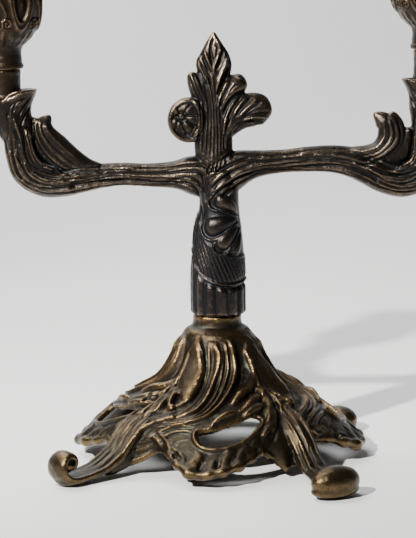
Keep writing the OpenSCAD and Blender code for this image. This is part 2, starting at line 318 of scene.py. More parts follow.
def patina(name, deep, mid, bright, rough=(0.3, 0.6), green=0.15, grain=1.0, spots=0.35,
           blue_to=0.0, darker_below=0.0):
    """Aged brass: dark in the hollows, rubbed bright on the ridges, with a cast grain.

    rough is for rubbed and for deep metal. blue_to is the height in metres up to which a
    blue-black tone reaches, and the last argument the share of a dull, darker tone towards the
    bottom.
    """
    m = bpy.data.materials.new(name)
    m.use_nodes = True
    nt = m.node_tree
    nt.nodes.clear()

    def add(kind, **settings):
        node = nt.nodes.new(kind)
        for key, value in settings.items():
            if key.startswith("_"):
                setattr(node, key[1:], value)
            else:
                node.inputs[key.replace("_", " ")].default_value = value
        return node

    def link(a, b):
        nt.links.new(a, b)

    def noise(scale, detail, roughness=0.6):
        node = add("ShaderNodeTexNoise", Scale=scale, Detail=detail, Roughness=roughness)
        link(coord.outputs["Object"], node.inputs["Vector"])
        return node.outputs["Fac"]

    def axis(name):
        node = add("ShaderNodeSeparateXYZ")
        link(coord.outputs["Object"], node.inputs[0])
        return node.outputs[name]

    def span(value, a, b, c, d):
        node = add("ShaderNodeMapRange", From_Min=a, From_Max=b, To_Min=c, To_Max=d)
        link(value, node.inputs["Value"])
        return node.outputs["Result"]

    def calc(op, a, b):
        node = add("ShaderNodeMath", _operation=op)
        for socket, value in zip(node.inputs, (a, b)):
            if isinstance(value, float):
                socket.default_value = value
            else:
                link(value, socket)
        return node.outputs[0]

    def mix(fac, a, b):
        node = add("ShaderNodeMix", _data_type="RGBA")
        link(fac, node.inputs["Factor"])
        for socket, value in zip((node.inputs[6], node.inputs[7]), (a, b)):
            if isinstance(value, tuple):
                socket.default_value = (*value, 1)
            else:
                link(value, socket)
        return node.outputs[2]

    out = add("ShaderNodeOutputMaterial")
    shader = add("ShaderNodeBsdfPrincipled")
    link(shader.outputs[0], out.inputs[0])
    coord = add("ShaderNodeTexCoord")
    wear = add("ShaderNodeAttribute", _attribute_name="wear").outputs["Fac"]

    blotch = noise(70, 5)
    mottle = noise(420, 6, 0.7)
    speck = noise(2600, 3, 0.7)
    # wear plus blotches chooses between the deep, middle and bright metal
    level = calc("ADD", wear, span(blotch, 0.3, 0.7, -0.35, 0.35))
    level = calc("ADD", level, span(mottle, 0.3, 0.7, -0.35, 0.35))
    level = calc("ADD", level, span(speck, 0.3, 0.7, -spots, spots))
    dark = span(level, -0.75, 0.15, 1, 0)
    light = span(level, 0.4, 2.0, 0, 1)
    colour = mix(light, mid, bright)
    colour = mix(dark, colour, deep)
    if darker_below:
        # a darker, duller tone towards the bottom, set by height alone
        low = span(axis("Z"), 0.012, 0.032, darker_below, 0)
        colour = mix(low, colour, (0.022, 0.02, 0.013))
    if blue_to:
        # blue-black lower part
        low = span(axis("Z"), blue_to - 0.008, blue_to + 0.006, 0.5, 0)
        near = span(calc("ABSOLUTE", axis("X"), 0.0), 0.012, 0.018, 1, 0)
        colour = mix(calc("MULTIPLY", low, near), colour, (0.010, 0.012, 0.017))
    # thin green bloom in some hollows
    bloom = calc("MULTIPLY", span(noise(150, 4), 0.56, 0.66, 0, 1), span(wear, -1.0, -0.2, 1, 0))
    colour = mix(calc("MULTIPLY", bloom, float(green)), colour, (0.21, 0.26, 0.18))
    link(colour, shader.inputs["Base Color"])
    link(span(level, -0.9, 1.0, 0.648, 0.954), shader.inputs["Metallic"])
    roughness = calc("ADD", span(level, -0.7, 1.1, rough[1], rough[0]),
                     span(speck, 0.35, 0.65, -0.06, 0.06))
    link(roughness, shader.inputs["Roughness"])

    height = calc("ADD", calc("MULTIPLY", speck, 0.6), calc("MULTIPLY", noise(1100, 4), 0.8))
    bump = add("ShaderNodeBump", Strength=0.55 * grain, Distance=0.00028)
    link(height, bump.inputs["Height"])
    link(bump.outputs[0], shader.inputs["Normal"])
    return m


# the base takes a darker tone towards its bottom
base_metal = patina("aged_brass", (0.007, 0.0052, 0.0035), (0.036, 0.024, 0.0125),
                    (0.34, 0.215, 0.095), rough=(0.27, 0.46), green=0.35, spots=0.6, darker_below=0.45)
branch_metal = patina("dark_bronze", (0.004, 0.004, 0.0045), (0.022, 0.017, 0.0135),
                      (0.34, 0.25, 0.17), rough=(0.24, 0.42), green=0.05, spots=0.5,
                      blue_to=0.122)
cup_metal = patina("brown_brass", (0.006, 0.0045, 0.0033), (0.034, 0.0225, 0.014),
                   (0.29, 0.195, 0.12), rough=(0.24, 0.42), green=0.05, spots=0.45)
steel_metal = patina("dull_steel", (0.1, 0.1, 0.1), (0.38, 0.38, 0.37), (0.6, 0.6, 0.58),
                     green=0.0, grain=0.4)


# ----------------------------------------------------------------------- base

# Feet of the base: turn about the stem, how far out, height
FEET = [(36, 73, 12), (112, 88, 17), (219, 87, 16), (301, 96, 14)]
LEG_SWING = [0, 0, 0, 10]       # how far each leg swings aside above its foot
BELL = spline([[11.2, 61.5], [14.6, 59.6], [17.2, 55.5], [19.9, 48], [23.8, 41],
               [28.5, 35.5], [36, 31], [44, 26.5], [52, 21], [59, 14.5], [66, 6.5]], 200)
# q, the radius less the height, grows steadily from the neck to the rim
BELL_Q = BELL[:, 0] - BELL[:, 1]
# rim of one bay: share of the bay, radius, height
RIM = spline([[0, 58, 4], [0.12, 53, 8], [0.22, 50, 12.5], [0.33, 55, 12], [0.44, 64, 7.4],
              [0.53, 67.5, 5], [0.65, 66, 7], [0.76, 60, 9.5], [0.86, 54, 12.5],
              [0.93, 53, 9], [1, 58, 4]], 300)


def foot_turn(k):
    return FEET[k % 4][0] + 360 * (k // 4)


def bay_share(angle):
    """Share of its bay, 0 to 1, at each turn in degrees."""
    a = (np.asarray(angle, float) - FEET[0][0]) % 360 + FEET[0][0]
    out = np.zeros_like(a)
    for k in range(4):
        lo, hi = foot_turn(k), foot_turn(k + 1)
        sel = (a >= lo) & (a < hi)
        out[sel] = (a[sel] - lo) / (hi - lo)
    return out


def bell_at(angle, u, inset=0.0):
    """Point of the bell at a turn and a share u of its length, neck to rim."""
    angle, u = np.broadcast_arrays(np.asarray(angle, float), np.asarray(u, float))
    x = u * (len(BELL) - 1)
    k = np.arange(len(BELL))
    r, z = np.interp(x, k, BELL[:, 0]), np.interp(x, k, BELL[:, 1])
    slope = unit(np.gradient(BELL, axis=0))
    tr, tz = np.interp(x, k, slope[:, 0]), np.interp(x, k, slope[:, 1])
    share = bay_share(angle)
    pull = u ** 6
    rim_r = np.interp(share, RIM[:, 0], RIM[:, 1])
    rim_z = np.interp(share, RIM[:, 0], RIM[:, 2])
    r = (r + inset * tz) * (1 + (rim_r / BELL[-1, 0] - 1) * pull)
    z = z - inset * tr + (rim_z - BELL[-1, 1]) * pull
    a = np.radians(angle)
    return np.stack([r * np.cos(a), r * np.sin(a), z], -1)


def bay_turn(k, share):
    """Turn in degrees at a share of bay k. Shares outside 0 to 1 run on evenly."""
    return foot_turn(k) + (foot_turn(k + 1) - foot_turn(k)) * np.asarray(share, float)


def on_bell(k, stations, n, lift=0.0):
    """A line on the bell of bay k. A station is (degrees past the foot of 90, q[, lift])."""
    st = spline(stations, n)
    u = np.interp(st[:, 1], BELL_Q, np.linspace(0, 1, len(BELL)))
    angle = bay_turn(k, st[:, 0] / 90)
    p = bell_at(angle, u)
    du = bell_at(angle, np.clip(u + 0.004, 0, 1)) - bell_at(angle, np.clip(u - 0.004, 0, 1))
    dt = bell_at(angle + 0.5, u) - bell_at(angle - 0.5, u)
    normal = unit(np.cross(du, dt))
    rise = st[:, 2] if st.shape[1] > 2 else lift
    return p + normal * np.reshape(rise, (-1, 1)), normal


def bell_shell():
    """Closed shell of the bell with a crescent opening in each apron."""
    rows, cols, wall = 150, 540, 2.6
    angle = FEET[0][0] + np.arange(cols) * 360 / cols
    u = np.linspace(0, 1, rows)[:, None]
    outer = bell_at(angle[None, :], u)
    inner = bell_at(angle[None, :], u, wall)
    t = 90 * bay_share(angle + 180 / cols)[None, :]
    q = np.interp((np.arange(rows - 1) + 0.5) / (rows - 1) * (len(BELL) - 1),
                  np.arange(len(BELL)), BELL_Q)[:, None]
    hole = np.array([[44, 30, 31], [45.5, 28.5, 35], [49, 27.5, 38], [55, 26, 40],
                     [61, 23.5, 40], [67, 21.5, 38.5], [73, 19, 35], [78, 17.5, 30],
                     [81.5, 18, 25], [83, 20.5, 21.5]])
    lo = np.interp(t, hole[:, 0], hole[:, 1], left=99, right=99)
    hi = np.interp(t, hole[:, 0], hole[:, 2], left=-99, right=-99)
    keep = ~((q > lo) & (q < hi))
    i, j = np.nonzero(keep)
    k = (j + 1) % cols
    n = rows * cols
    top = np.stack([i * cols + j, i * cols + k, (i + 1) * cols + k, (i + 1) * cols + j], -1)
    faces = [top[:, ::-1], top + n]
    # walls where a kept cell meets an opening, the rim or the neck
    for di, dj, a, b in ((-1, 0, 0, 1), (0, 1, 1, 2), (1, 0, 2, 3), (0, -1, 3, 0)):
        ni, nj = i + di, (j + dj) % cols
        off = (ni < 0) | (ni >= rows - 1)
        off |= ~keep[np.clip(ni, 0, rows - 2), nj]
        q = top[off]
        faces.append(np.stack([q[:, a], q[:, b], q[:, b] + n, q[:, a] + n], -1))
    return np.vstack([outer.reshape(-1, 3), inner.reshape(-1, 3)]), faces


def bell_blade(k, stations, width, height, n=50, ring=20, lift=0.0, **how):
    p, normal = on_bell(k, stations, n, lift)
    w = spline(width, n)[:, 0]
    h = spline(height, n)[:, 0]
    return sweep(p, w, h, normal, ring, **how)


def aside(x, reach, swing):
    """How far a leg lies beside its straight line, x out from the stem."""
    return swing * np.clip((reach - 6 - x) / 30, 0, 1) ** 0.7


def foot(reach, height, rolled, swing):
    """Leg strap along +X that ends in a rolled volute or in a plain knuckle."""
    def gutter(v, a):
        # raised edges along a hollow strap, or four ribs along a flat one
        x = np.sin(a)
        top = np.clip(-np.cos(a) * 1.6, 0, 1)
        if rolled:
            return top * (1.9 * np.exp(-((x + 0.9) / 0.16) ** 2)
                          + 1.5 * np.exp(-((x - 0.9) / 0.14) ** 2) - 0.9)
        return top * (1.3 * np.abs(np.cos(x * 5.4)) - 0.7)
    st = [[33, 28.4, 1.2, 2.2], [38, 26.8, 2.2, 4.6], [44, 24, 3, 7], [50, 20.2, 3.5, 8.4],
          [56, 14.8, 3.4, 8], [61, 9.8, 3.2, 7.6], [67, 6.4, 3, 7.8], [72, 4.6, 2.6, 7.6]]
    if rolled:
        h = height
        st += [[reach - 6, 3.0, 2.5, 7.4], [reach + 0.4, 2.9, 2.5, 7.6],
               [reach + 4.6, 5.6, 2.2, 7.2], [reach + 5.2, h - 5.2, 2.0, 6.4],
               [reach + 1.6, h - 1.9, 1.9, 5.8], [reach - 2.2, h - 3.8, 1.8, 5.2],
               [reach - 2.2, h - 7.2, 1.7, 4.8], [reach + 1, h - 7.6, 1.5, 4.2]]
    else:
        st += [[reach - 3, 4.4, 3.4, 8.6], [reach + 3, 5, 4, 9]]
    n = 150
    sp = spline(st, n)
    path = np.stack([sp[:, 0], aside(sp[:, 0], reach, swing), sp[:, 1]], -1)
    slim = 1 if rolled else 0.78
    strap = sweep(path, sp[:, 2], sp[:, 3] * slim, (0, -1, 0), 64, gutter, 0.03)
    # flanks of the leg, down towards the table
    sk = spline([[34, 20, 3, 7.5], [43, 16.5, 3.4, 9], [50, 12.5, 3.4, 8.4], [56, 8.8, 3.2, 6.4],
                 [62, 5.2, 3, 4.2], [68, 3.6, 3, 3]], 50)
    under = np.stack([sk[:, 0], aside(sk[:, 0], reach, swing), sk[:, 1]], -1)
    flank = sweep(under, sk[:, 2] * 1.9 * slim, sk[:, 3], (0, 0, 1), 32)
    parts = [strap, flank]
    if rolled:
        parts.append(ball((reach + 1.2, 0, height * 0.58), (3.0, 4.9, 3.5), 24))
        parts.append(ball((reach - 1, 0, 2.4), (6.4, 7, 2.4), 20))
    else:
        wide = 11.8 * height / 14
        parts.append(ball((reach, 0, height * 0.5), (7.4, wide, height * 0.5), 30))
        parts.append(ball((reach - 0.4, 0, 3.2), (7.2, wide, 3.2), 24))
    return parts


# Crests of the bell's flutes: line in (degrees past the foot of 90, q), height, and how
# wide the crest falls away on its left and on its right
FLUTES = [([[20, -43], [27, -37], [33, -31], [36, -23], [35, -15], [33, -5], [29, 5], [22, 12],
            [12, 17]], 1.5, 3.6, 1.1),
          ([[42, -40], [43.5, -31], [45, -23], [43, -15], [40, -5], [36, 6], [28, 16]],
           0.8, 1.5, 0.5),
          ([[52, -40], [59, -31], [56.5, -23], [52, -15], [48.5, -6], [44, 6], [37, 15],
            [24, 20], [9, 21]], 2.2, 2.7, 0.7),
          ([[62, -38], [64, -30], [61.6, -22], [58, -14], [54.4, -6], [48.4, 6], [41, 15],
            [28, 20.5]], 1.3, 1.1, 0.5),
          ([[69, -40], [70, -30], [69, -22], [64, -14], [58.6, -5], [52, 6], [45, 15],
            [33, 21], [14, 24.5]], 1.4, 1.2, 0.55),
          ([[77, -42], [79.5, -32], [79, -23], [73, -14], [65.5, -5], [57, 6], [49, 15.5],
            [38, 21.5], [25, 25.5], [9, 28]], 1.9, 1.5, 1.0),
          ([[90, -44], [91, -34], [90, -22], [84, -12], [76, -4]], -0.9, 3.2, 3.2),
          ([[98, -36], [101, -24], [99, -12], [95, -2], [90, 8]], 1.0, 1.4, 0.8)]


def flute_lift(co, n):
    """Height of the flutes at points near the bell's outer face."""
    r = np.hypot(co[:, 0], co[:, 1])
    q = r - co[:, 2]
    z_bell = np.interp(r, BELL[:, 0], BELL[:, 1])
    outward = (n[:, :2] * co[:, :2]).sum(1) / np.maximum(r, 1) * 0.6 + n[:, 2]
    skin = np.clip(outward * 3, 0, 1) * np.clip((co[:, 2] - z_bell + 2.2) / 1.5, 0, 1)
    skin = skin * np.clip((5.5 - (co[:, 2] - z_bell)) / 2, 0, 1)
    skin = skin * np.clip((30 - q) / 6, 0, 1) * np.clip((q + 47) / 4, 0, 1)
    angle = np.degrees(np.arctan2(co[:, 1], co[:, 0]))
    share = bay_share(angle)
    a36 = (angle - FEET[0][0]) % 360 + FEET[0][0]
    span = np.zeros_like(q)
    for k in range(4):
        sel = (a36 >= foot_turn(k)) & (a36 < foot_turn(k + 1))
        span[sel] = foot_turn(k + 1) - foot_turn(k)
    per_t = np.radians(span / 90) * r
    out = np.zeros(len(co))
    for line, height, left, right in FLUTES:
        st = spline(line, 120)
        order = np.argsort(st[:, 1])
        ql, tl = st[order, 1], st[order, 0]
        slope = np.interp(q, ql, np.gradient(tl) / np.maximum(np.gradient(ql), 0.05))
        window = np.clip((q - ql[0]) / 6, 0, 1) * np.clip((ql[-1] - q) / 5, 0, 1)
        for wrap in (-90, 0, 90):
            d = (share * 90 + wrap - np.interp(q, ql, tl)) * per_t
            d = d / np.sqrt(1 + (slope * per_t / 1.4) ** 2)
            out += height * window * np.where(d < 0, np.exp(-(d / left) ** 2),
                                              np.exp(-(d / right) ** 2))
    return out * skin


def build_base():
    parts = [bell_shell()]
    for k in range(4):
        angle, reach, height = FEET[k]
        parts += [turn(p, angle) for p in foot(reach, height, k in (1, 2), LEG_SWING[k])]
        # smooth convex lobe of the bell, with a ragged leaf edge beside it
        parts.append(bell_blade(k, [[16, -38], [19, -29], [22, -21], [24.5, -13], [27, -5],
                                    [29.5, 5]],
                                [2.2, 4.2, 5.6, 6, 4.9, 1.7], [1.2, 2.1, 2.9, 3.1, 2.5, 1.2],
                                ring=32, lift=-0.1, ends=0.14))
        for line, size in (([[13, -7], [14, -1], [16.5, 5], [19, 11], [23, 13]], 0.9),
                           ([[8, -9], [9.5, -2], [11, 5], [11, 12], [7, 18]], 1.2),
                           ([[2, -12], [4, -4], [5, 4], [3, 12], [-2, 18]], 1.2)):
            parts.append(bell_blade(k, line, [0.5, size, size, 0.6], [1.2, 2.2, 2.2, 1],
                                    ring=14, lift=0.5))
        # flame of leaves over the opening
        for line, wide in (([[101, -18], [95, -13], [88, -8], [79, -4], [71, 2], [66, 5]], 2.9),
                           ([[96, -3], [90, 1], [84, 5], [76, 11], [67, 16]], 2.6),
                           ([[92, 8], [86, 11], [80, 14], [72, 18]], 1.9),
                           ([[69, 13], [64, 15], [58, 18], [51, 23]], 1.7)):
            parts.append(bell_blade(k, line, [0.5, wide * 0.8, wide, wide * 0.7, 0.6],
                                    [0.8, 2.0, 2.7, 2.2, 0.8], lift=0.4, ring=24, edge=1.3))
        # leafy strands that run down to the next foot beside the hollow
        for line, wide in (([[104, -24], [101, -12], [98, -2], [93, 8], [87, 17]], 1.1),
                           ([[110, -26], [107, -14], [103, -3], [98, 8], [92, 18]], 1.2),
                           ([[98, 3], [94, 12], [88, 22], [83, 30]], 1.3),
                           ([[92, 20], [87, 28], [82, 35], [79, 41]], 1.4),
                           ([[97, 12], [92, 22], [87, 33]], 1.2)):
            parts.append(bell_blade(k, line, [0.6, wide, wide, 0.5], [0.8, 1.6, 1.6, 0.6],
                                    lift=0.3, ring=14))
        # bright edge that runs along the top of the leg
        parts.append(bell_blade(k, [[28, 21], [18, 26], [11, 31], [8, 38], [6, 45]],
                                [0.7, 1, 1.1, 0.8], [1, 1.6, 1.6, 1], lift=0.5, ring=14))
        # mouldings round the arch beside the leg
        for back, size in ((0.0, 1.7), (0.055, 0.9), (0.1, 0.8)):
            p = bell_at(bay_turn(k, np.linspace(0.03, 0.34, 60)), np.full(60, 1.0 - back))
            p[:, 2] = np.maximum(p[:, 2], size)
            parts.append(sweep(p, np.full(60, size), np.full(60, size), (0, 0, 1), 14, ends=0.1))
        # thick folded rim of the apron
        share = np.linspace(0.29, 0.95, 160)
        p = bell_at(bay_turn(k, share), np.full(160, 0.985))
        t = share * 90
        lumps = sum(h * np.exp(-((t - c) / w) ** 2) for c, w, h in
                    ((30, 2.4, 0.8), (36.5, 2.2, 1.3), (42.5, 2.6, 1.7), (51, 2.2, 0.8),
                     (57, 2.2, 1.2), (64.5, 2.4, 1.4), (71, 2, 0.9), (77, 2, 1.1)))
        size = 1.4 + 0.95 * lumps
        p[:, 2] = np.maximum(p[:, 2] - 0.35 * lumps, size)
        parts.append(sweep(p, size, size, (0, 0, 1), 18, ends=0.04))
        # folds that run up from the rim and fade into the apron
        for line, wide, tall in (([[30, 58], [31, 52], [34, 47]], 1.3, 1.5),
                                 ([[36, 59], [35.5, 57], [38, 58.6]], 2.0, 1.8),
                                 ([[42, 59.5], [44, 53], [46, 47], [45, 42]], 2.4, 2.4),
                                 ([[51, 59], [52.5, 54], [53, 48]], 1.6, 1.5),
                                 ([[57, 59], [59, 52], [61, 46], [62, 43]], 1.9, 1.9),
                                 ([[64.5, 59], [66.5, 53], [69, 47], [69, 42]], 2.1, 2.1),
                                 ([[71, 59], [73, 52], [75, 46], [77, 40]], 1.6, 1.6),
                                 ([[77, 59], [79, 52], [81, 45], [83, 38]], 1.7, 1.7)):
            parts.append(bell_blade(k, line, [wide * 1.3, wide * 1.3, 0.9],
                                    [tall * 0.62, tall * 0.5, 0.4], lift=0.1, ring=20, ends=0.2))
        # lip round the crescent opening
        lip = [[83.6, 19], [83.5, 24], [79.5, 31], [74, 36.6], [67.5, 40.4], [61, 42], [54.5, 42],
               [48, 40], [44, 36.4], [42.4, 31.5], [43.6, 27.5], [48, 26], [54, 24.4]]
        parts.append(bell_blade(k, lip, [0.8, 1.0, 1.0, 1.0, 0.8], [1.0, 1.4, 1.5, 1.4, 1.0],
                                n=120, ring=16, lift=-0.1, ends=0.05))
        # scroll beside the arch, round the oval hollow
        parts.append(bell_blade(k, [[20, 38], [26, 43], [29.5, 50], [30.5, 56], [33.5, 58.5],
                                    [38, 57], [40, 53], [38, 49.5], [33.5, 49]],
                                [0.9, 1.1, 1.3, 1.2, 1.1, 1.0, 0.9, 0.8, 0.6],
                                [0.9, 1.2, 1.3, 1.2, 1.1, 1.1, 1.0, 0.9, 0.7], n=90, ring=14,
                                lift=0.0))
        parts.append(bell_blade(k, [[17, 42], [22, 47], [25, 54]], [0.8, 1.2, 0.8],
                                [1.2, 1.7, 1.2], ring=14, lift=0.3))
    # neck ring with its spigot
    a = [(0, 40), (11.2, 40), (11.2, 61), (11.5, 61.6), (11.3, 62.6), (11.1, 64), (11.4, 65.6),
         (11.1, 66.4), (0, 66.4)]
    parts.append(lathe(a, 96))
    o = mesh_object("base_visual", merge(parts))
    fuse(o, BASE_VOXEL)
    put_points(o.data, relax(points(o.data), edges(o.data), 4))

    grooves = []
    for k in range(4):
        # grooves between the flutes
        for line, deep in (([[38, -38], [39.5, -30], [40.5, -22], [39.5, -14], [37, -4], [33, 6]],
                            -0.5),
                           ([[49, -38], [50.5, -30], [50, -22], [47, -14], [43.5, -5], [39, 8]],
                            -0.9),
                           ([[61, -36], [61.6, -28], [58.8, -20], [55, -12], [51, -4], [46, 6],
                             [38, 15]], -0.8),
                           ([[66.5, -36], [66.6, -28], [64.4, -20], [60, -11], [56, -4], [50, 6],
                             [42, 16]], -0.8),
                           ([[74.5, -38], [74.5, -30], [73, -22], [67.6, -13], [61, -4], [54, 7],
                             [46, 16], [34, 22]], -0.9),
                           ([[84, -36], [86, -26], [84, -16], [76, -9], [68, -1], [60, 8]], -0.8),
                           ([[16, -6], [18, 0], [20.5, 5], [22, 9]], -1.6)):
            grooves.append((on_bell(k, line, 60, 0.6)[0], deep, 0.6))
        # flowing lines over the apron beside the leg
        for line, deep in (([[46, 21], [35, 24], [26, 28], [19, 35], [14, 43]], -0.8),
                           ([[43, 25], [34, 28], [26.5, 33], [21, 40], [17, 47]], -0.7),
                           ([[41, 30], [34, 33], [29, 38], [26, 45]], -0.8),
                           ([[41, 36], [36, 40], [33, 46]], -0.6),
                           ([[44, 23], [34.5, 26], [26, 30.5], [20, 37.5], [15.6, 45]], 0.5),
                           ([[42, 28], [34, 30.6], [28, 35.6], [23.5, 42.5]], 0.5),
                           ([[100, 30], [96, 36], [93, 43]], -0.7),
                           ([[91, 27], [88, 35], [85, 43]], -0.7)):
            grooves.append((on_bell(k, line, 50, 0.1)[0], deep, 0.65))
        # hatching under the neck ring
        for t in np.arange(34, 78, 4.5):
            grooves.append((on_bell(k, [[t, -47], [t, -43]], 8, 0.1)[0], -0.35, 0.3))
        # veins of the flame leaves
        for line in ([[98, -16], [89, -9.5], [79, -5.6], [70, 1]],
                     [[97, -13], [89, -6.6], [80, -2.4], [71, 3.6]],
                     [[92, 0], [85, 4], [77, 9.4], [69, 14]], [[91, 3], [85, 7], [77, 12.6]],
                     [[89, 10], [83, 13], [76, 17]]):
            grooves.append((on_bell(k, line, 40, 1.8)[0], -0.8, 0.45))
        # oval hollow, and dimples between the folds
        grooves.append((on_bell(k, [[32.5, 53.6], [36.5, 53.8]], 6, 0.2)[0], -1.9, 1.5))
        for t, q in ((47, 55), (54.5, 56), (60.5, 56), (67.5, 56), (74, 56)):
            grooves.append((on_bell(k, [[t, q], [t + 1, q - 7]], 8, 0.2)[0], -1.0, 1.1))

    # long grooves down the legs, laid out as seen from above
    from_above = []
    for k, (turned, reach, _) in enumerate(FEET):
        a = math.radians(turned)
        for y0, y1, sway in ((-5.2, -3.6, 0.8), (-2.4, -1.6, 1.2), (0.8, 0.6, 1.4), (3.6, 2.8, 1.0),
                             (6, 4.4, 0.6)):
            v = np.linspace(0, 1, 40)
            x = 30 + (reach - 42) * v
            y = y0 + (y1 - y0) * v + sway * np.sin(4.6 * v + y0)
            y = y + aside(x, reach, LEG_SWING[k])
            from_above.append((np.stack([x * math.cos(a) - y * math.sin(a),
                                         x * math.sin(a) + y * math.cos(a)], -1), -0.75, 0.6))

    def lift(co, n):
        out = stroke_lift(co, grooves) + flute_lift(co, n)
        out += stroke_lift(co[:, :2], from_above) * np.clip(n[:, 2] * 1.8 - 0.1, 0, 1)
        inside = n[:, 2] < -0.2
        out[inside] *= 0.2
        return out

    finish_casting(o, base_metal, "candelabra", ["base_casting"], lift, rough=0.1)


def lathe(profile, cols):
    """Closed solid of revolution; the profile runs from the axis round to the axis."""
    pr = np.array(profile, float)
    a = around(cols)
    r = np.maximum(pr[:, 0], 1e-3)[:, None]
    rings = np.stack([r * np.cos(a), r * np.sin(a), pr[:, 1][:, None] + 0 * a], -1)
    return closed_tube(rings)


# --------------------------------------------------------------------- branch

BRANCH_CUTS = (-17, 17)         # X where the finished branch is cut into three meshes
LEFT_REACH, RIGHT_REACH = 95.5, 98.9
LEFT_SEAT, RIGHT_SEAT = 167.0, 173.0
# arms and their leaves, seen from the front: distance out, height, half height, half depth
LEFT_ARM = [[0, 129, 10, 7.5], [11, 131, 8.8, 6.6], [19, 131.2, 6.3, 5.6],
            [30, 131.2, 5.4, 5.2], [42, 131.9, 5.2, 5], [52, 131.3, 5.7, 5.2],
            [61, 130.3, 6.6, 5.8], [70, 129.3, 7.4, 6.4], [78, 130, 8, 7],
            [85, 134.2, 8, 7.4], [88.4, 141.5, 7.2, 7.4], [89.6, 150, 7, 7.4],
            [92, 158, 7.6, 8], [94.5, 164, 8, 8]]
RIGHT_ARM = [[0, 128, 10, 7.5], [10, 133.4, 8.6, 6.6], [19, 135.6, 6.3, 5.6],
             [31, 136.6, 5.3, 5.2], [43, 137.4, 5.8, 5], [53, 137.4, 6.2, 5.2],
             [62, 136, 6.9, 5.8], [70, 133, 7.6, 6.4], [78, 129.2, 8, 7],
             [87, 127.9, 8.6, 7.4], [95, 132.4, 8.2, 7.4], [96.6, 143, 7.4, 7.4],
             [97, 152, 7, 7.4], [97, 162, 7.8, 8], [98, 170, 8, 8]]
LEFT_LEAF = [[52, 132, 4.8, 4.8], [60, 134.2, 6, 5], [67.5, 138.6, 7.2, 5.2],
             [74, 144.4, 7.6, 5], [78, 150, 6.4, 4.8], [79.2, 154.2, 5.4, 4.4],
             [79, 156.2, 5, 3.8], [78.6, 158, 4, 2.6]]
RIGHT_LEAF = [[54, 137, 4.6, 4.6], [62, 138, 4.8, 5], [70, 138.6, 5, 5.2], [76, 141, 5, 5.2],
              [80.5, 146, 6.4, 5], [81, 150.5, 6.3, 4.8], [79.8, 154.4, 5.4, 4.2],
              [78.2, 157, 3.8, 2.8]]
# how far the leaves of each seat stand out, from their foot to their tips
LEFT_FLARE = [4.5, 8.4, 10.6, 11.6, 12.9, 14.5, 15.2]
RIGHT_FLARE = [4.5, 7, 8.4, 9.2, 10.6, 12.4, 13.6]
# hooked tips of the leaves, and the web between the right leaf and its limb
LEFT_TIPS = [[[79, 152, 4, 4.4], [77.8, 155.4, 4.2, 3.8], [74.6, 159.5, 0.9, 1.4]]]
RIGHT_TIPS = [[[79, 152, 3.8, 4.4], [76.8, 155, 4.1, 3.8], [72.8, 158.2, 0.9, 1.4]],
              [[77, 136, 4.6, 3.4], [83.6, 138.4, 5.2, 3.4], [87.4, 142.6, 4.8, 3.4],
               [88.8, 147, 4, 3.2], [89.6, 151.5, 2.6, 3]]]


def strands(v, a):
    """Seven rounded strands with sharp valleys, wound slowly round a limb."""
    wave = np.abs(np.cos(3.5 * (a + 0.1 * v * TAU) + 0.5 * np.sin(9 * v)))
    return 0.3 * (wave ** 0.55 - 0.72) * np.clip(v / 0.1, 0, 1)


def calyx(reach, seat, arm, rise, flare):
    """Leafy cup round the foot of a post: two tall flared leaves with a notch between them."""
    rows, cols = 60, 200
    u = np.linspace(0, 1, rows)[:, None]
    a = around(cols)[None, :]
    tip = np.abs(np.cos(a))
    rim_z = seat - 0.4 + rise * (1 - (1 - tip) ** 2.4)
    base = seat - 24
    r_front = np.interp(u, [0, 0.3, 0.6, 0.85, 1], [4.5, 6.8, 7.8, 8.3, 8.6])
    r_leaf = np.interp(u, [0, 0.24, 0.5, 0.66, 0.79, 0.92, 1], flare)
    r = r_front + (r_leaf - r_front) * tip ** 2.2
    z = base + (rim_z - base) * u
    # the cup leans with the limb that carries it
    limb = np.array(arm)[-6:]
    lean = np.interp(z, limb[:, 1], limb[:, 0] - reach)
    lean = lean * np.clip((seat - 2 - z) / 12, 0, 1)
    outer = np.stack([reach + lean + r * np.cos(a), r * np.sin(a), z], -1)
    w = np.linspace(0, 1, 24)[:, None]
    inner_r = r[-1:] - 1.1 + (7.2 - (r[-1:] - 1.1)) * w ** 0.8
    inner_z = rim_z + (seat - 1.2 - rim_z) * w ** 1.4
    inner = np.stack([reach + inner_r * np.cos(a), inner_r * np.sin(a), inner_z], -1)
    return closed_tube(np.concatenate([outer, inner]))


def arm_parts(arm, leaf, tips, reach, seat, rise, flare):
    parts = [flat_sweep(arm, 190, 84, strands, 0.02),
             flat_sweep(leaf, 90, 48, None, 0.03, edge=1.2),
             *[flat_sweep(tip, 40, 30, None, 0.1, edge=1.2) for tip in tips]]
    # outer leaf that wraps the bend
    k = len(arm)
    outer = [[s[0] + 1.4, s[1] - 1.8, 5.4, 7.2] for s in arm[k - 8:k - 2]]
    parts.append(flat_sweep(outer, 80, 40, None, 0.12))
    # bright narrow rib that follows the bend on each face
    for face in (-1, 1):
        rib = [[s[0] - 1.2, s[1] + 1.2, 0.75, 1.3, face * (s[3] - 0.5)]
               for s in arm[k - 8:k - 1]]
        parts.append(flat_sweep(rib, 90, 16, None, 0.1))
        feather = [[s[0] - 4.6, s[1] + 4.4, 1.3, 1.6, face * (s[3] - 1.8)]
                   for s in arm[k - 6:k - 2]]
        parts.append(flat_sweep(feather, 60, 16, None, 0.2))
    return [*parts, calyx(reach, seat, arm, rise, flare)]


def along(stations, share, wander=0.0, phase=0.0, n=160):
    """A line that follows a limb at a share of its half height, seen from the front."""
    st = spline(stations, n)
    t = unit(np.gradient(st[:, :2], axis=0))
    side = np.stack([-t[:, 1], t[:, 0]], -1)
    v = np.linspace(0, 1, n)
    off = share + wander * np.sin(v * 13 + phase)
    return st[:, :2] + side * (st[:, 2] * off)[:, None]


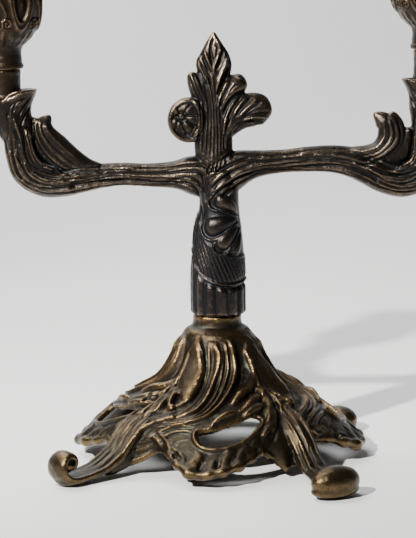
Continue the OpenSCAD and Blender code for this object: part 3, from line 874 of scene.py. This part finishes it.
def arm_strokes(arm, leaf, reach, seat, sign):
    """Carved lines that flow along an arm and out into its leaves, seen from the front."""
    lines = []
    for k, (share, deep, width) in enumerate(((-0.74, -0.6, 0.4), (-0.42, -1.0, 0.6),
                                              (-0.12, -0.7, 0.4), (0.2, -1.1, 0.6),
                                              (0.5, -0.6, 0.4), (0.74, -0.7, 0.45))):
        lines.append((along(arm, share, 0.09, k * 1.9)[6:146], deep, width))
    for k, (share, tall) in enumerate(((-0.58, 0.35), (0.04, 0.5), (0.36, 0.45))):
        lines.append((along(arm, share, 0.09, k * 1.9 + 1)[16:130], tall, 0.45))
    # short nicks that break the strands up, as in bark
    for k in range(46):
        at = 12 + int(rng.integers(0, 120))
        line = along(arm, rng.uniform(-0.85, 0.85), 0.12, rng.uniform(0, 6))
        lines.append((line[at:at + 8 + int(rng.integers(0, 9))], rng.choice([-0.55, 0.4]), 0.4))
    # folds of the hooked leaf
    for share, deep, width in ((-0.62, -0.9, 0.6), (-0.2, -0.8, 0.5), (0.2, -0.6, 0.45),
                               (0.55, 0.4, 0.5)):
        lines.append((along(leaf, share, n=90)[14:80], deep, width))
    # dark gap between the limb and the hooked leaf, with short slanted leaves in it
    gap = along(arm, 0.86, n=160)
    lines.append((gap[96:140], -1.6, 0.9))
    for k in range(100, 140, 7):
        lines.append((np.array([gap[k], gap[k - 5] + (gap[k + 5] - gap[k - 5]) * 0.9
                                + [-1.8, 2.6]]), -0.9, 0.45))
    # veins of the outer leaf below the bend
    low = along(arm, -0.5, n=160)
    for k in range(92, 124, 6):
        lines.append((np.array([low[k], (low[k] + low[k + 6]) / 2 + [0.6, -1.6],
                                low[k + 8] + [1.4, -2.6]]), -0.6, 0.4))
    # arcs on the leaves of the seat
    for s in (-1, 1):
        for x0, z0, x1, z1, x2, z2 in ((4.4, -6, 6, -1.5, 11, 1.2), (6.6, -8, 9.4, -3, 13, 2.2),
                                       (2.4, -8, 3, -3.5, 6.5, 0), (7.4, -13, 9.4, -8, 12.4, -2)):
            lines.append((spline([[reach + s * x0, seat + z0], [reach + s * x1, seat + z1],
                                  [reach + s * x2, seat + z2]], 24), -0.7, 0.42))
        lines.append((spline([[reach + s * 0.6, seat - 0.8], [reach + s * 5, seat + 1.2],
                              [reach + s * 10, seat + 3.4], [reach + s * 14, seat + 4.2]], 24),
                      0.5, 0.5))
        lines.append((spline([[reach + s * 1.5, seat - 3], [reach + s * 2, seat - 11],
                              [reach + s * 1, seat - 20]], 24), -0.5, 0.4))
    return [(ln * [sign, 1], h, w) for ln, h, w in lines]


def front_lift(strokes):
    """Lift from strokes seen from the front, used again on the back."""
    def lift(co, n):
        flat = co[:, [0, 2]]
        facing = np.clip(np.abs(n[:, 1]) * 1.8 - 0.1, 0, 1)
        return stroke_lift(flat, strokes) * facing
    return lift


# the stem, from its foot up: height, X of its axis, radius
STEM_AXIS = [[66, 0.65, 12.5], [84, 0.65, 12.5], [96, 0.95, 11.8], [105.5, 1.0, 11.0],
             [109.5, 1.2, 10.3], [116, 1.7, 9.2], [123, 1.7, 9.0], [134, 1.4, 8.6]]


def on_stem(points, n, lift=0.0, face=-1):
    """A line laid on the stem through (x, z) points, on its front or its back."""
    st = spline(points, n)
    axis = np.array(STEM_AXIS)
    xc = np.interp(st[:, 1], axis[:, 0], axis[:, 1])
    r = np.interp(st[:, 1], axis[:, 0], axis[:, 2])
    d = np.clip((st[:, 0] - xc) / r, -0.97, 0.97)
    normal = np.stack([d, face * np.sqrt(1 - d * d), 0 * d], -1)
    p = np.stack([xc, 0 * xc, st[:, 1]], -1) + normal * (r + lift)[:, None]
    return p, normal


def stem_part():
    """Stem with gadroons at its foot, a hatched swag and plain metal above."""
    rows, cols = 340, 300
    z = np.linspace(66.6, 133, rows)[:, None]
    a = around(cols)[None, :]
    axis = spline(STEM_AXIS, 160)
    k = np.argsort(axis[:, 0])
    xc = np.interp(z, axis[k, 0], axis[k, 1])
    r = np.interp(z, axis[k, 0], axis[k, 2]) + 0 * a
    s = np.sin(a)                     # 1 at the right, as seen from the front
    cord = np.interp(s, [-1, -0.87, -0.7, -0.5, -0.17, 0.17, 0.5, 0.87, 1],
                     [97, 92, 87.5, 84.8, 82.8, 81.8, 81.3, 82, 83])
    gad = np.clip((cord - 1.2 - z) / 2.4, 0, 1) * np.clip((z - 66.6) / 1.1, 0, 1)
    wave = np.abs(np.cos(7 * (a + 0.294)))
    r = r + np.where(z < cord - 0.6, (np.sqrt(wave) * 1.7 - 1.35) * np.sqrt(gad)
                     - 0.9 * (1 - gad), 0)
    r = r + 0.95 * np.exp(-((z - cord) / 0.7) ** 2)
    top = np.interp(s, [-1, -0.87, -0.7, -0.5, -0.17, 0.17, 0.5, 1],
                    [113, 109, 104.5, 101, 98, 95.8, 94.2, 93.6])
    swag = np.clip((z - cord - 0.8) / 1.2, 0, 1) * np.clip((top - z) / 1.5, 0, 1)
    arc = 12 * np.arcsin(s)
    hatch = np.abs(np.sin((arc + 0.37 * (z - 85) + 0.004 * (z - 85) ** 2) * math.pi / 1.85))
    r = r + swag * (hatch ** 0.6 * 1.25 - 0.6)
    r = r + 0.5 * np.exp(-((z - top) / 0.8) ** 2)
    ring = np.stack([xc + r * np.sin(a), -r * np.cos(a), z + 0 * a], -1)
    return closed_tube(ring)


def dish(x, z, rx, rz, deep, profile):
    """Round boss across the casting: (share of radius, share of half depth) on each face."""
    pr = np.array([(t, -d) for t, d in profile] + [(t, d) for t, d in profile[::-1]])
    a = around(96)
    rings = np.stack([x + rx * pr[:, 0][:, None] * np.cos(a), deep * pr[:, 1][:, None] + 0 * a,
                      z + rz * pr[:, 0][:, None] * np.sin(a)], -1)
    return closed_tube(rings[::-1])


def build_branch():
    mirror = [mirror_x(p) for p in arm_parts(LEFT_ARM, LEFT_LEAF, LEFT_TIPS, LEFT_REACH,
                                             LEFT_SEAT, 5.0, LEFT_FLARE)]
    right = arm_parts(RIGHT_ARM, RIGHT_LEAF, RIGHT_TIPS, RIGHT_REACH, RIGHT_SEAT, 1.0,
                      RIGHT_FLARE)
    stem = [stem_part()]
    # shell of overlapping lobes that fan out from the right of the stem, front and back
    for face in (-1, 1):
        for line, wide, tall in (
                ([[10.2, 113.5], [6.5, 117.6], [2.8, 119.4], [-0.6, 119.6]], [0.9, 2.9, 3.5, 2.6],
                 [1.2, 2.6, 2.8, 1.6]),
                ([[10.4, 111], [4.6, 109.8], [-1.0, 108], [-4.6, 106.8]], [0.8, 3.0, 4.3, 3.4],
                 [1.2, 2.4, 2.7, 1.6]),
                ([[10.6, 109], [6.6, 104.4], [3.2, 101], [0.6, 98.6]], [0.7, 2.5, 3.5, 2.8],
                 [1.2, 2.3, 2.6, 1.5]),
                ([[11, 107], [10, 101.8], [8.9, 97.6], [8, 94.6]], [0.6, 2.0, 2.8, 2.0],
                 [1, 2.2, 2.4, 1.4])):
            p, normal = on_stem(line, 50, -0.5, face)
            stem.append(sweep(p, spline(wide, 50)[:, 0], spline(tall, 50)[:, 0], normal, 30,
                              ends=0.2))
        for line in ([[-0.4, 123], [-2.9, 120], [-1.6, 116.4], [3, 115], [7, 113.4], [10, 112]],
                     [[-5.4, 111], [-6.3, 107.5], [-5, 103.8], [-1.4, 102.4], [3, 104.4],
                      [6.6, 107.4], [10.2, 110]],
                     [[-0.6, 101.4], [-1.2, 98], [1.6, 95.6], [5, 97.2], [8.6, 103], [10.6, 107.6]],
                     [[-1, 108.6], [3, 109.6], [7, 110.6]], [[3, 101.4], [5, 103.4], [7, 105.6]],
                     [[5.6, 122], [6.4, 123.4], [7.8, 125]]):
            p, normal = on_stem(line, 44, 0.5, face)
            stem.append(sweep(p, np.full(44, 0.45), np.full(44, 0.9), normal, 12, ends=0.12))
    finial = [
        flat_sweep([[1, 124, 10, 7.5], [0.8, 132, 9.4, 7], [0, 139, 8.6, 6.4], [-0.4, 143, 8.8, 6],
                    [-0.4, 149, 8.6, 5.7], [0.4, 156, 7.4, 5.4], [0.4, 163, 7, 5],
                    [0.2, 170, 6.8, 4.7], [0.2, 175, 7, 4.5], [0.3, 179, 7.9, 4.2],
                    [0.3, 182, 8.2, 3.9], [0.5, 185.4, 7, 3.5], [0.4, 190, 4.4, 2.8],
                    [0.4, 193.5, 2.3, 2], [0.5, 196.2, 0.5, 0.8]], 170, 60, None, 0.01),
        # upper right lobe
        flat_sweep([[2, 158, 3, 4.8], [4.6, 165, 4.6, 5], [8, 169.6, 5.6, 4.8],
                    [11.6, 172, 5.2, 4.2], [15.4, 172.8, 3.4, 2.8]], 60, 44, None, 0.2),
        # great scallop on the right
        flat_sweep([[-1, 146, 5, 5.4], [5, 153.6, 6.4, 5.6], [11, 158.6, 7.5, 5.4],
                    [17.5, 160.6, 7.8, 5], [22.5, 160.2, 6.7, 4.2], [26.6, 159.6, 4.2, 2.8]],
                   80, 60, None, 0.2),
        # small left lobe
        flat_sweep([[-3, 160, 3.6, 4.4], [-7, 169, 3.8, 4], [-9, 174.4, 3.2, 3.3],
                    [-10.6, 178, 1.6, 2.2]], 50, 36, None, 0.1),
        # round rosette with a rolled rim
        dish(-11.4, 156.3, 9.9, 10.3, 4.8,
             [(0.01, 0.86), (0.3, 0.88), (0.62, 0.82), (0.76, 0.86), (0.85, 1), (0.93, 0.92),
              (0.98, 0.7), (1, 0.4)]),
    ]
    for face in (-1, 1):
        for dx, dz, size in ((-3.2, 2.2, 1.5), (-1.0, -3.2, 2.3), (2.0, 0.4, 2.2), (-0.6, 5.4, 2.2),
                             (-5.6, -1.6, 2.0), (-5.2, 4.6, 1.7)):
            finial.append(ball((-11.8 + dx, face * 3.9, 156.3 + dz), (size * 1.3, 1.0, size * 1.15),
                               14))
        # crescent of the rim where it rolls over beside the stem
        curl = spline([[-10, 165.6], [-7.2, 162.4], [-6.2, 157.4], [-7, 152.4], [-9.6, 148.6]], 50)
        finial.append(sweep(np.stack([curl[:, 0], np.full(50, face * 4.3), curl[:, 1]], -1),
                            np.full(50, 1.5), np.full(50, 1.7), (0, face, 0), 16, ends=0.2))

    left_strokes = arm_strokes(LEFT_ARM, LEFT_LEAF, LEFT_REACH, LEFT_SEAT, -1)
    right_strokes = arm_strokes(RIGHT_ARM, RIGHT_LEAF, RIGHT_REACH, RIGHT_SEAT, 1)
    middle = []
    # strands of the lower finial, and the fans they open into
    for line in ([[-7.6, 139], [-7.6, 146], [-6.2, 152], [-5.8, 158], [-6.6, 165]],
                 [[-5.4, 139.6], [-5.2, 147], [-4.4, 154], [-4.2, 162], [-6.4, 170]],
                 [[-3.6, 138.6], [-3.3, 147], [-2.7, 155], [-2.6, 163], [-3.8, 170], [-5, 174.6]],
                 [[-1.8, 139], [-1.6, 147], [-1.2, 155], [-1.4, 163], [-2.6, 170], [-4.4, 177]],
                 [[0, 139], [0.2, 147], [0.2, 155], [0, 163], [-0.8, 170], [-2.4, 177],
                  [-4.6, 183]],
                 [[1.6, 140.4], [1.8, 148], [1.6, 156], [1.2, 164], [0.6, 171], [0.4, 178.6]],
                 [[3.2, 141], [3.4, 149], [3.2, 156], [2.8, 162]],
                 [[4.6, 142], [4.7, 148], [5.4, 153], [7.6, 157.6]],
                 [[6, 143], [6.6, 147.6], [8, 151.4], [11, 154.6], [16, 155.8], [22, 156.4]]):
        middle.append((spline(line, 60), -1.0, 0.5))
    # ribs of the middle leaf and its inner leaflet
    for line, h, w in (([[-6.4, 183.4], [-4.4, 178.6], [-2.2, 174.4], [-0.9, 170.4]], -0.9, 0.55),
                       ([[-6.6, 179], [-5, 175.6], [-3, 171.6]], -0.8, 0.5),
                       ([[-3.9, 188], [-2.6, 184], [-0.6, 179.6]], 0.8, 0.5),
                       ([[-5.2, 185.4], [-3.2, 181.6], [-1.2, 177]], -1.0, 0.6),
                       ([[0.7, 194], [2.8, 189.6], [2.8, 186], [0.6, 180.6], [0.3, 176]], 0.8,
                        0.5),
                       ([[0.2, 194], [-1, 190], [-1, 186], [0, 181.8]], -1.2, 0.5),
                       ([[5, 188], [3.2, 183], [1, 179]], -1.1, 0.6),
                       ([[6.6, 186], [5.2, 181], [3, 176], [1.4, 171.6]], 0.9, 0.6),
                       ([[7.4, 181.4], [5.8, 177], [3.4, 172.6], [1.8, 168]], -1.1, 0.7),
                       ([[3.4, 187], [2.6, 183.6], [0.9, 179.8]], -1.1, 0.5),
                       ([[1.2, 189.8], [0.9, 187], [0.8, 184]], 0.4, 0.3)):
        middle.append((spline(line, 40), h, w))
    # folds of the small left lobe and the upper right lobe
    for line, h, w in (([[-10.8, 176], [-8.8, 171], [-6.6, 166], [-5, 161]], -0.8, 0.5),
                       ([[-9.4, 177], [-7.6, 172], [-5.8, 167]], -0.7, 0.45),
                       ([[-10, 176.6], [-8.2, 171.6], [-6.2, 166.6]], 0.6, 0.4),
                       ([[7.4, 175.2], [4.6, 170.4], [2.6, 166.4], [1, 161.6]], 0.9, 0.6),
                       ([[8.6, 174.4], [5.8, 169.6], [3.8, 165.4], [2.4, 160.6]], -1.0, 0.6),
                       ([[6, 176], [3.4, 171.4], [1.6, 167]], -1.2, 0.7),
                       ([[14.6, 169], [10.4, 167.6], [7, 164.4], [5, 160.6]], -1.3, 0.9),
                       ([[13.6, 173], [9.6, 171.6], [6.6, 168.4]], -0.35, 0.5)):
        middle.append((spline(line, 40), h, w))
    for k in range(8):
        x = 8.2 + 0.85 * k
        middle.append((spline([[x, 176.4 - 0.048 * k * k], [x - 1.6, 173.6]], 10), -0.4, 0.32))
    # fan of the great scallop
    for line, h, w in (([[11, 166], [7.4, 161.4], [5, 155.6], [4, 149]], 1.0, 0.6),
                       ([[13, 166.8], [9.4, 163], [7, 158.4], [5.2, 152]], -0.9, 0.5),
                       ([[15.4, 167], [11.4, 162.6], [8.4, 158]], 0.9, 0.5),
                       ([[17.4, 166.6], [13.2, 162.4], [9.6, 157.6]], -0.9, 0.5),
                       ([[20, 165.6], [15.4, 162], [11, 157.6]], 0.7, 0.5),
                       ([[22, 164.6], [17, 161.2], [12, 157.4]], -0.8, 0.5),
                       ([[24.4, 162.4], [18.6, 160.4], [13, 157.2]], -0.7, 0.5),
                       ([[25.6, 159.6], [19.4, 158.9], [14, 156.9], [9.4, 153.4]], -0.9, 0.5),
                       ([[25, 156.8], [18.6, 157.6], [13, 156], [8.4, 152], [6.4, 147]], 0.9, 0.6),
                       ([[23, 154.8], [17, 155.4], [12, 153.8], [8.6, 150.6]], -0.5, 0.4)):
        middle.append((spline(line, 50), h, w))
    # petals of the rosette
    for b in range(7):
        c, d = math.cos(b * TAU / 7 + 0.3), math.sin(b * TAU / 7 + 0.3)
        middle.append((spline([[-14.6 + 1.8 * c, 158 + 1.8 * d], [-14 + 4.4 * c, 157.4 + 4.6 * d],
                               [-12.6 + 6.6 * c, 156.6 + 7.4 * d]], 16), -0.8, 0.5))
    ring = np.linspace(0, TAU, 40)
    middle.append((np.stack([-14.7 + 1.9 * np.cos(ring), 158.2 + 1.9 * np.sin(ring)], -1), -0.7,
                   0.4))
    # strands of the right arm that sweep up over the stem
    for line, h in (([[-3.2, 128.6], [2, 133.6], [9, 137], [17, 139.4]], -1.1),
                    ([[-2.4, 127.2], [3, 132], [10, 135.6], [18, 137.9]], 0.6),
                    ([[-2.4, 124.6], [2.6, 129.6], [9.4, 133.6], [18, 136.4]], -1.1),
                    ([[-1.4, 123.4], [3.4, 127.6], [10.4, 131.6], [19, 134.4]], 0.6),
                    ([[-0.6, 122], [4.2, 126], [11, 129.8], [19, 132.8]], -1.1),
                    ([[2.4, 121.4], [6.6, 124.6], [12, 127.8], [19, 131]], -0.8)):
        middle.append((spline(line, 50), h, 0.6))
    # strands that come in from the left arm, and ragged ones down the stem's left side
    for line, h in (([[-19, 135.6], [-11, 136.2], [-6, 136.4], [-3.6, 134.6]], -0.9),
                    ([[-19, 133.6], [-11, 133.8], [-7, 133], [-5, 130.4]], -0.9),
                    ([[-19, 130.4], [-12, 130.6], [-8, 129], [-6, 125.4]], -1.0),
                    ([[-19, 127.6], [-13, 127.6], [-9, 125.4], [-7, 121]], -0.9),
                    ([[-5, 133], [-5.6, 128], [-4.8, 123], [-4, 118]], -0.9),
                    ([[-3.4, 131], [-4.2, 126.6], [-3.6, 122]], -0.7),
                    ([[-6.8, 119], [-6.4, 114], [-7, 108]], -0.7)):
        middle.append((spline(line, 40), h, 0.5))
    # fan of short slits between the arms
    for x0, z0, x1, z1 in ((-3.4, 131.6, -1.8, 137), (-1.6, 132.4, 0.6, 138),
                           (0.6, 133.6, 3, 139.2), (2.6, 135, 5.2, 140.4),
                           (4.8, 137, 7.4, 141.6), (7.6, 138.8, 9.8, 142.4)):
        middle.append((spline([[x0, z0], [(x0 + x1) / 2 - 0.3, (z0 + z1) / 2 + 0.5], [x1, z1]], 16),
                       -1.2, 0.5))

    o = mesh_object("branch_visual", merge(mirror + right + stem + finial))
    fuse(o, BRANCH_VOXEL)
    finish_casting(o, branch_metal, "candelabra", ["branch_casting"],
                   front_lift(middle + left_strokes + right_strokes), rough=0.05,
                   wear_scale=0.62)
    split(o, BRANCH_CUTS)


def split(o, cuts):
    """Cuts a long piece into parts at the given X, for files of a handy size."""
    me = o.data
    co = points(me)
    x = np.array([co[list(f.vertices), 0].mean() for f in me.polygons])
    zone = np.searchsorted(cuts, x)
    for k in range(1, len(cuts) + 1):
        part = o.copy()
        part.data = me.copy()
        part.name = f"{o.name}_{k}"
        bpy.context.scene.collection.objects.link(part)
        keep_faces(part.data, zone == k)
    keep_faces(me, zone == 0)


def keep_faces(me, keep):
    bm = bmesh.new()
    bm.from_mesh(me)
    bmesh.ops.delete(bm, geom=[f for f, k in zip(bm.faces, keep) if not k], context="FACES")
    bm.to_mesh(me)
    bm.free()


# ----------------------------------------------------------------------- cups

STUD_BORE = 3.35        # radius of the hole for the stud in a post and a cup
POST_TOP = 14           # heights over the seat of an arm
NOZZLE_SEAT = 62.15


def turned_rings(r, z, a):
    """Rings of radius r and height z, from the front round."""
    return np.stack([r * np.sin(a), -r * np.cos(a), z + 0 * a], -1)


def ring_solid(rings):
    """Rings of points as a skin whose last ring joins the first, as round a bore."""
    rows, cols = rings.shape[:2]
    return rings.reshape(-1, 3), [grid_faces(rows + 1, cols) % (rows * cols)]


def dense(profile, step):
    """Points at even steps along straight lines between profile points."""
    pr = np.array(profile, float)
    s = np.concatenate([[0], np.cumsum(np.hypot(*np.diff(pr, axis=0).T))])
    t = np.linspace(0, s[-1], int(s[-1] / step) + 1)
    return np.stack([np.interp(t, s, pr[:, 0]), np.interp(t, s, pr[:, 1])], -1)


def arm_end(side):
    """Reach of an arm along X, and the height of its seat."""
    return (-LEFT_REACH, LEFT_SEAT) if side < 0 else (RIGHT_REACH, RIGHT_SEAT)


def finish_turned(kind, part, side, height, node):
    """Sets a turned piece on an arm in place of its CAD node. A nozzle has its own body."""
    verts, faces = part
    end = "left" if side < 0 else "right"
    node = f"{node}_{end}"
    body = node if kind == "nozzle" else "candelabra"
    reach, seat = arm_end(side)
    o = mesh_object(f"{kind}_{end}_visual", (verts + [reach, 0, seat + height], faces))
    mark_wear(o.data, 0.55)
    o.data.shade_smooth()
    o.data.materials.append(cup_metal)
    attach(o, body)
    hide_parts(node)


def build_post(side):
    """Plain turned post between an arm's seat and its cup."""
    pr = dense([[STUD_BORE, 0.15], [7.9, 0.15], [8.3, 0.7], [8.3, 1.6], [7.9, 2.4], [7.7, 6],
                [7.7, 11], [7.9, 12.2], [7.9, 13], [7.4, 13.85], [STUD_BORE, 13.85]], 0.25)
    a = around(160)[None, :]
    r, z = pr[:, :1] + 0 * a, pr[:, 1:] + 0 * a
    # file marks and dents of the old surface
    flat = np.stack([r * np.cos(a), r * np.sin(a), z], -1).reshape(-1, 3)
    r = r + 0.1 * noise3(flat, 2.4, 3).reshape(r.shape) * np.clip((r - 7) * 2, 0, 1)
    finish_turned("post", ring_solid(turned_rings(r, z, a)), side, 0, "cup_post")


def build_nozzle(side):
    """Lift-out candle tube with a fluted drip pan and a beaded rim."""
    pr = dense([[0.01, -25.5], [11.9, -25.5], [12.7, -24], [12.7, 0], [16, 0], [20.2, 1.4],
                [21.4, 2.4], [21.9, 3.1], [21.7, 3.5], [20.8, 3.6], [19.4, 3], [16, 1.7], [14, 1.7],
                [13.3, 2.2], [13.1, 3.1], [12.4, 3.5], [11.2, 3.5], [11.2, -20.5], [0.01, -20.5]],
               0.3)
    a = around(288)[None, :]
    r, z = pr[:, :1] + 0 * a, pr[:, 1:] + 0 * a
    upper = np.clip((z + 0.2) / 0.4, 0, 1)
    bead = np.abs(np.cos(24 * a)) ** 0.7
    r = r - 0.8 * (1 - bead) * np.clip((r - 20.6) / 1.0, 0, 1) * upper
    z = z + 0.5 * (bead - 0.5) * np.clip((r - 20) / 1.2, 0, 1) * upper
    pan = np.clip((r - 14.5) / 1.5, 0, 1) * np.clip((20 - r) / 1.5, 0, 1)
    z = z + 0.3 * np.cos(24 * a) * pan * upper
    finish_turned("nozzle", closed_tube(turned_rings(r, z, a)), side, NOZZLE_SEAT, "nozzle")


def build_cup(side):
    """Bulb cup with six oval cartouches and scrolls between them."""
    outside = spline([[8.3, 0], [8.65, 0.6], [8.65, 1.8], [8.1, 2.6], [8.0, 4.6], [7.8, 6.8],
                      [8.3, 9.4], [10.3, 12], [12.9, 14.4], [15.2, 18], [16.8, 22], [17.7, 27],
                      [17.8, 32], [16.9, 37], [15.3, 41.5], [14.5, 44.5], [15.2, 46],
                      [15.6, 47.1], [15.2, 48]], 230)
    inside = spline([[13.4, 48], [13.2, 42], [14, 38.5], [15.2, 33], [15.4, 28], [14.6, 23],
                     [12.4, 18], [9, 14.2], [3.4, 14]], 50)
    cols = 300
    a = around(cols)[None, :]
    r, h = outside[:, :1], outside[:, 1:]
    r = r + 0.6 * np.clip((45 - h) / 6, 0, 1)
    lift = np.zeros((len(outside), cols))
    for k in range(6):
        mid = math.radians(36 + 60 * k)
        d = (a - mid + math.pi) % TAU - math.pi
        x = d * r
        y = h - 29.5
        half = 5.6 * (1 + 0.022 * y)
        e = np.sqrt((x / half) ** 2 + (y / 11.8) ** 2)
        lift += 0.95 * np.exp(-((e - 1.0) / 0.1) ** 2) + 0.6 * np.exp(-((e - 0.76) / 0.08) ** 2)
        lift -= 1.0 * np.clip((0.7 - e) / 0.12, 0, 1)
        lift += 0.5 * np.clip((0.35 - e) / 0.3, 0, 1)
        # scrolls between two ovals
        s = (a - mid - math.radians(30) + math.pi) % TAU - math.pi
        x = s * r
        for sx in (-1, 1):
            for cx, cy, turns, size in ((sx * 2.2, 20.5, 1.6, 2.6), (sx * 2.4, 38.5, 1.6, 2.5)):
                q = np.hypot(x - cx, h - cy)
                ang = np.arctan2(h - cy, (x - cx) * sx)
                spiral = (q / size * turns - ang / TAU) % 1
                lift += np.where(q < size * 1.15, 0.75 * np.abs(np.cos(math.pi * spiral)) ** 2
                                 * np.clip((size * 1.15 - q) / 0.5, 0, 1), 0)
        wave = 1.5 * np.sin((h - 20) / 19 * TAU)
        lift += np.clip(1 - ((h - 29.5) / 9) ** 4, 0, 1) * 0.8 * np.exp(-((x - wave) / 0.8) ** 2)
        # small leaves that rise from the neck of the cup
        for off in (-15, 0, 15):
            s2 = (a - mid - math.radians(30 + off) + math.pi) % TAU - math.pi
            x2 = s2 * r
            tall = 19 if off == 0 else 17
            lift += 0.55 * np.exp(-(x2 / 0.9) ** 2) * np.clip((tall - h) / 3, 0, 1) \
                * np.clip((h - 9.5) / 2, 0, 1)
    r = r + lift * np.clip((h - 8) / 3, 0, 1) * np.clip((45 - h) / 2, 0, 1)
    rings = [turned_rings(STUD_BORE, 0.02, a), turned_rings(r, h, a),
             turned_rings(inside[:, :1], inside[:, 1:], a)]
    finish_turned("cup", ring_solid(np.concatenate(rings)), side, POST_TOP, "candle_cup")


build_base()
build_branch()
for side in (-1, 1):
    build_cup(side)
    build_post(side)
    build_nozzle(side)

for name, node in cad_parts.items():
    steel = name.startswith(("tie_", "cup_stud", "cup_nut"))
    node.data.materials.clear()
    node.data.materials.append(steel_metal if steel else cup_metal)


# -------------------------------------------------------- floor, light, camera

def plain(name, colour, roughness):
    m = bpy.data.materials.new(name)
    m.use_nodes = True
    s = m.node_tree.nodes["Principled BSDF"]
    s.inputs["Base Color"].default_value = (*colour, 1)
    s.inputs["Roughness"].default_value = roughness
    return m


floor_mesh = bpy.data.meshes.new("floor")
curve = [(-3.0, 0.0), (1.1, 0.0)]
curve += [(1.1 + 1.2 * math.sin(b), 1.2 - 1.2 * math.cos(b))
          for b in np.linspace(0, math.pi / 2, 40)[1:].tolist()]
curve += [(2.3, 4.0)]
floor_mesh.from_pydata([(x, y, z) for y, z in curve for x in (-4, 4)], [],
                       [(2 * k, 2 * k + 1, 2 * k + 3, 2 * k + 2) for k in range(len(curve) - 1)])
floor_mesh.shade_smooth()
floor = place("floor", floor_mesh)
floor_mesh.materials.append(plain("floor_paper", (0.86, 0.86, 0.855), 0.9))


def light(name, kind, where, at, power):
    """A lamp at one point, aimed at another. Gives its data."""
    data = bpy.data.lights.new(name, kind)
    data.energy = power
    o = place(name, data)
    o.location = where
    o.rotation_euler = (Vector(at) - Vector(where)).to_track_quat("-Z", "Y").to_euler()
    return data


key = light("key", "SPOT", (-0.55, -0.72, 0.72), (0.1, 0.26, 0.03), 134)
key.shadow_soft_size = 0.02
key.spot_size = math.radians(42)
key.spot_blend = 1.0
key.color = (1, 0.985, 0.95)
overhead = light("overhead", "AREA", (-0.9, 0.9, 2.0), (0, 1.2, 0), 82)
overhead.shape = "RECTANGLE"
overhead.size = overhead.size_y = 1.6

world = bpy.data.worlds.new("studio")
world.use_nodes = True
sky = world.node_tree.nodes["Background"]
sky.inputs["Color"].default_value = (0.8, 0.82, 0.85, 1)
sky.inputs["Strength"].default_value = 0.05
bpy.context.scene.world = world

camera_data = bpy.data.cameras.new("camera")
camera_data.lens = 142.5
camera_data.clip_start = 0.05
camera_data.clip_end = 60
camera = place("camera", camera_data)
camera.location = (-0.00387, -0.971, 0.240)
camera.rotation_mode = "XYZ"
# looks down a little, and is rolled a little about its own axis
down = math.radians(8.94)
look = Vector((0, math.cos(down), -math.sin(down)))
camera.rotation_euler = look.to_track_quat("-Z", "Y").to_euler()
camera.rotation_euler.rotate_axis("Z", math.radians(-0.92))
bpy.context.scene.camera = camera
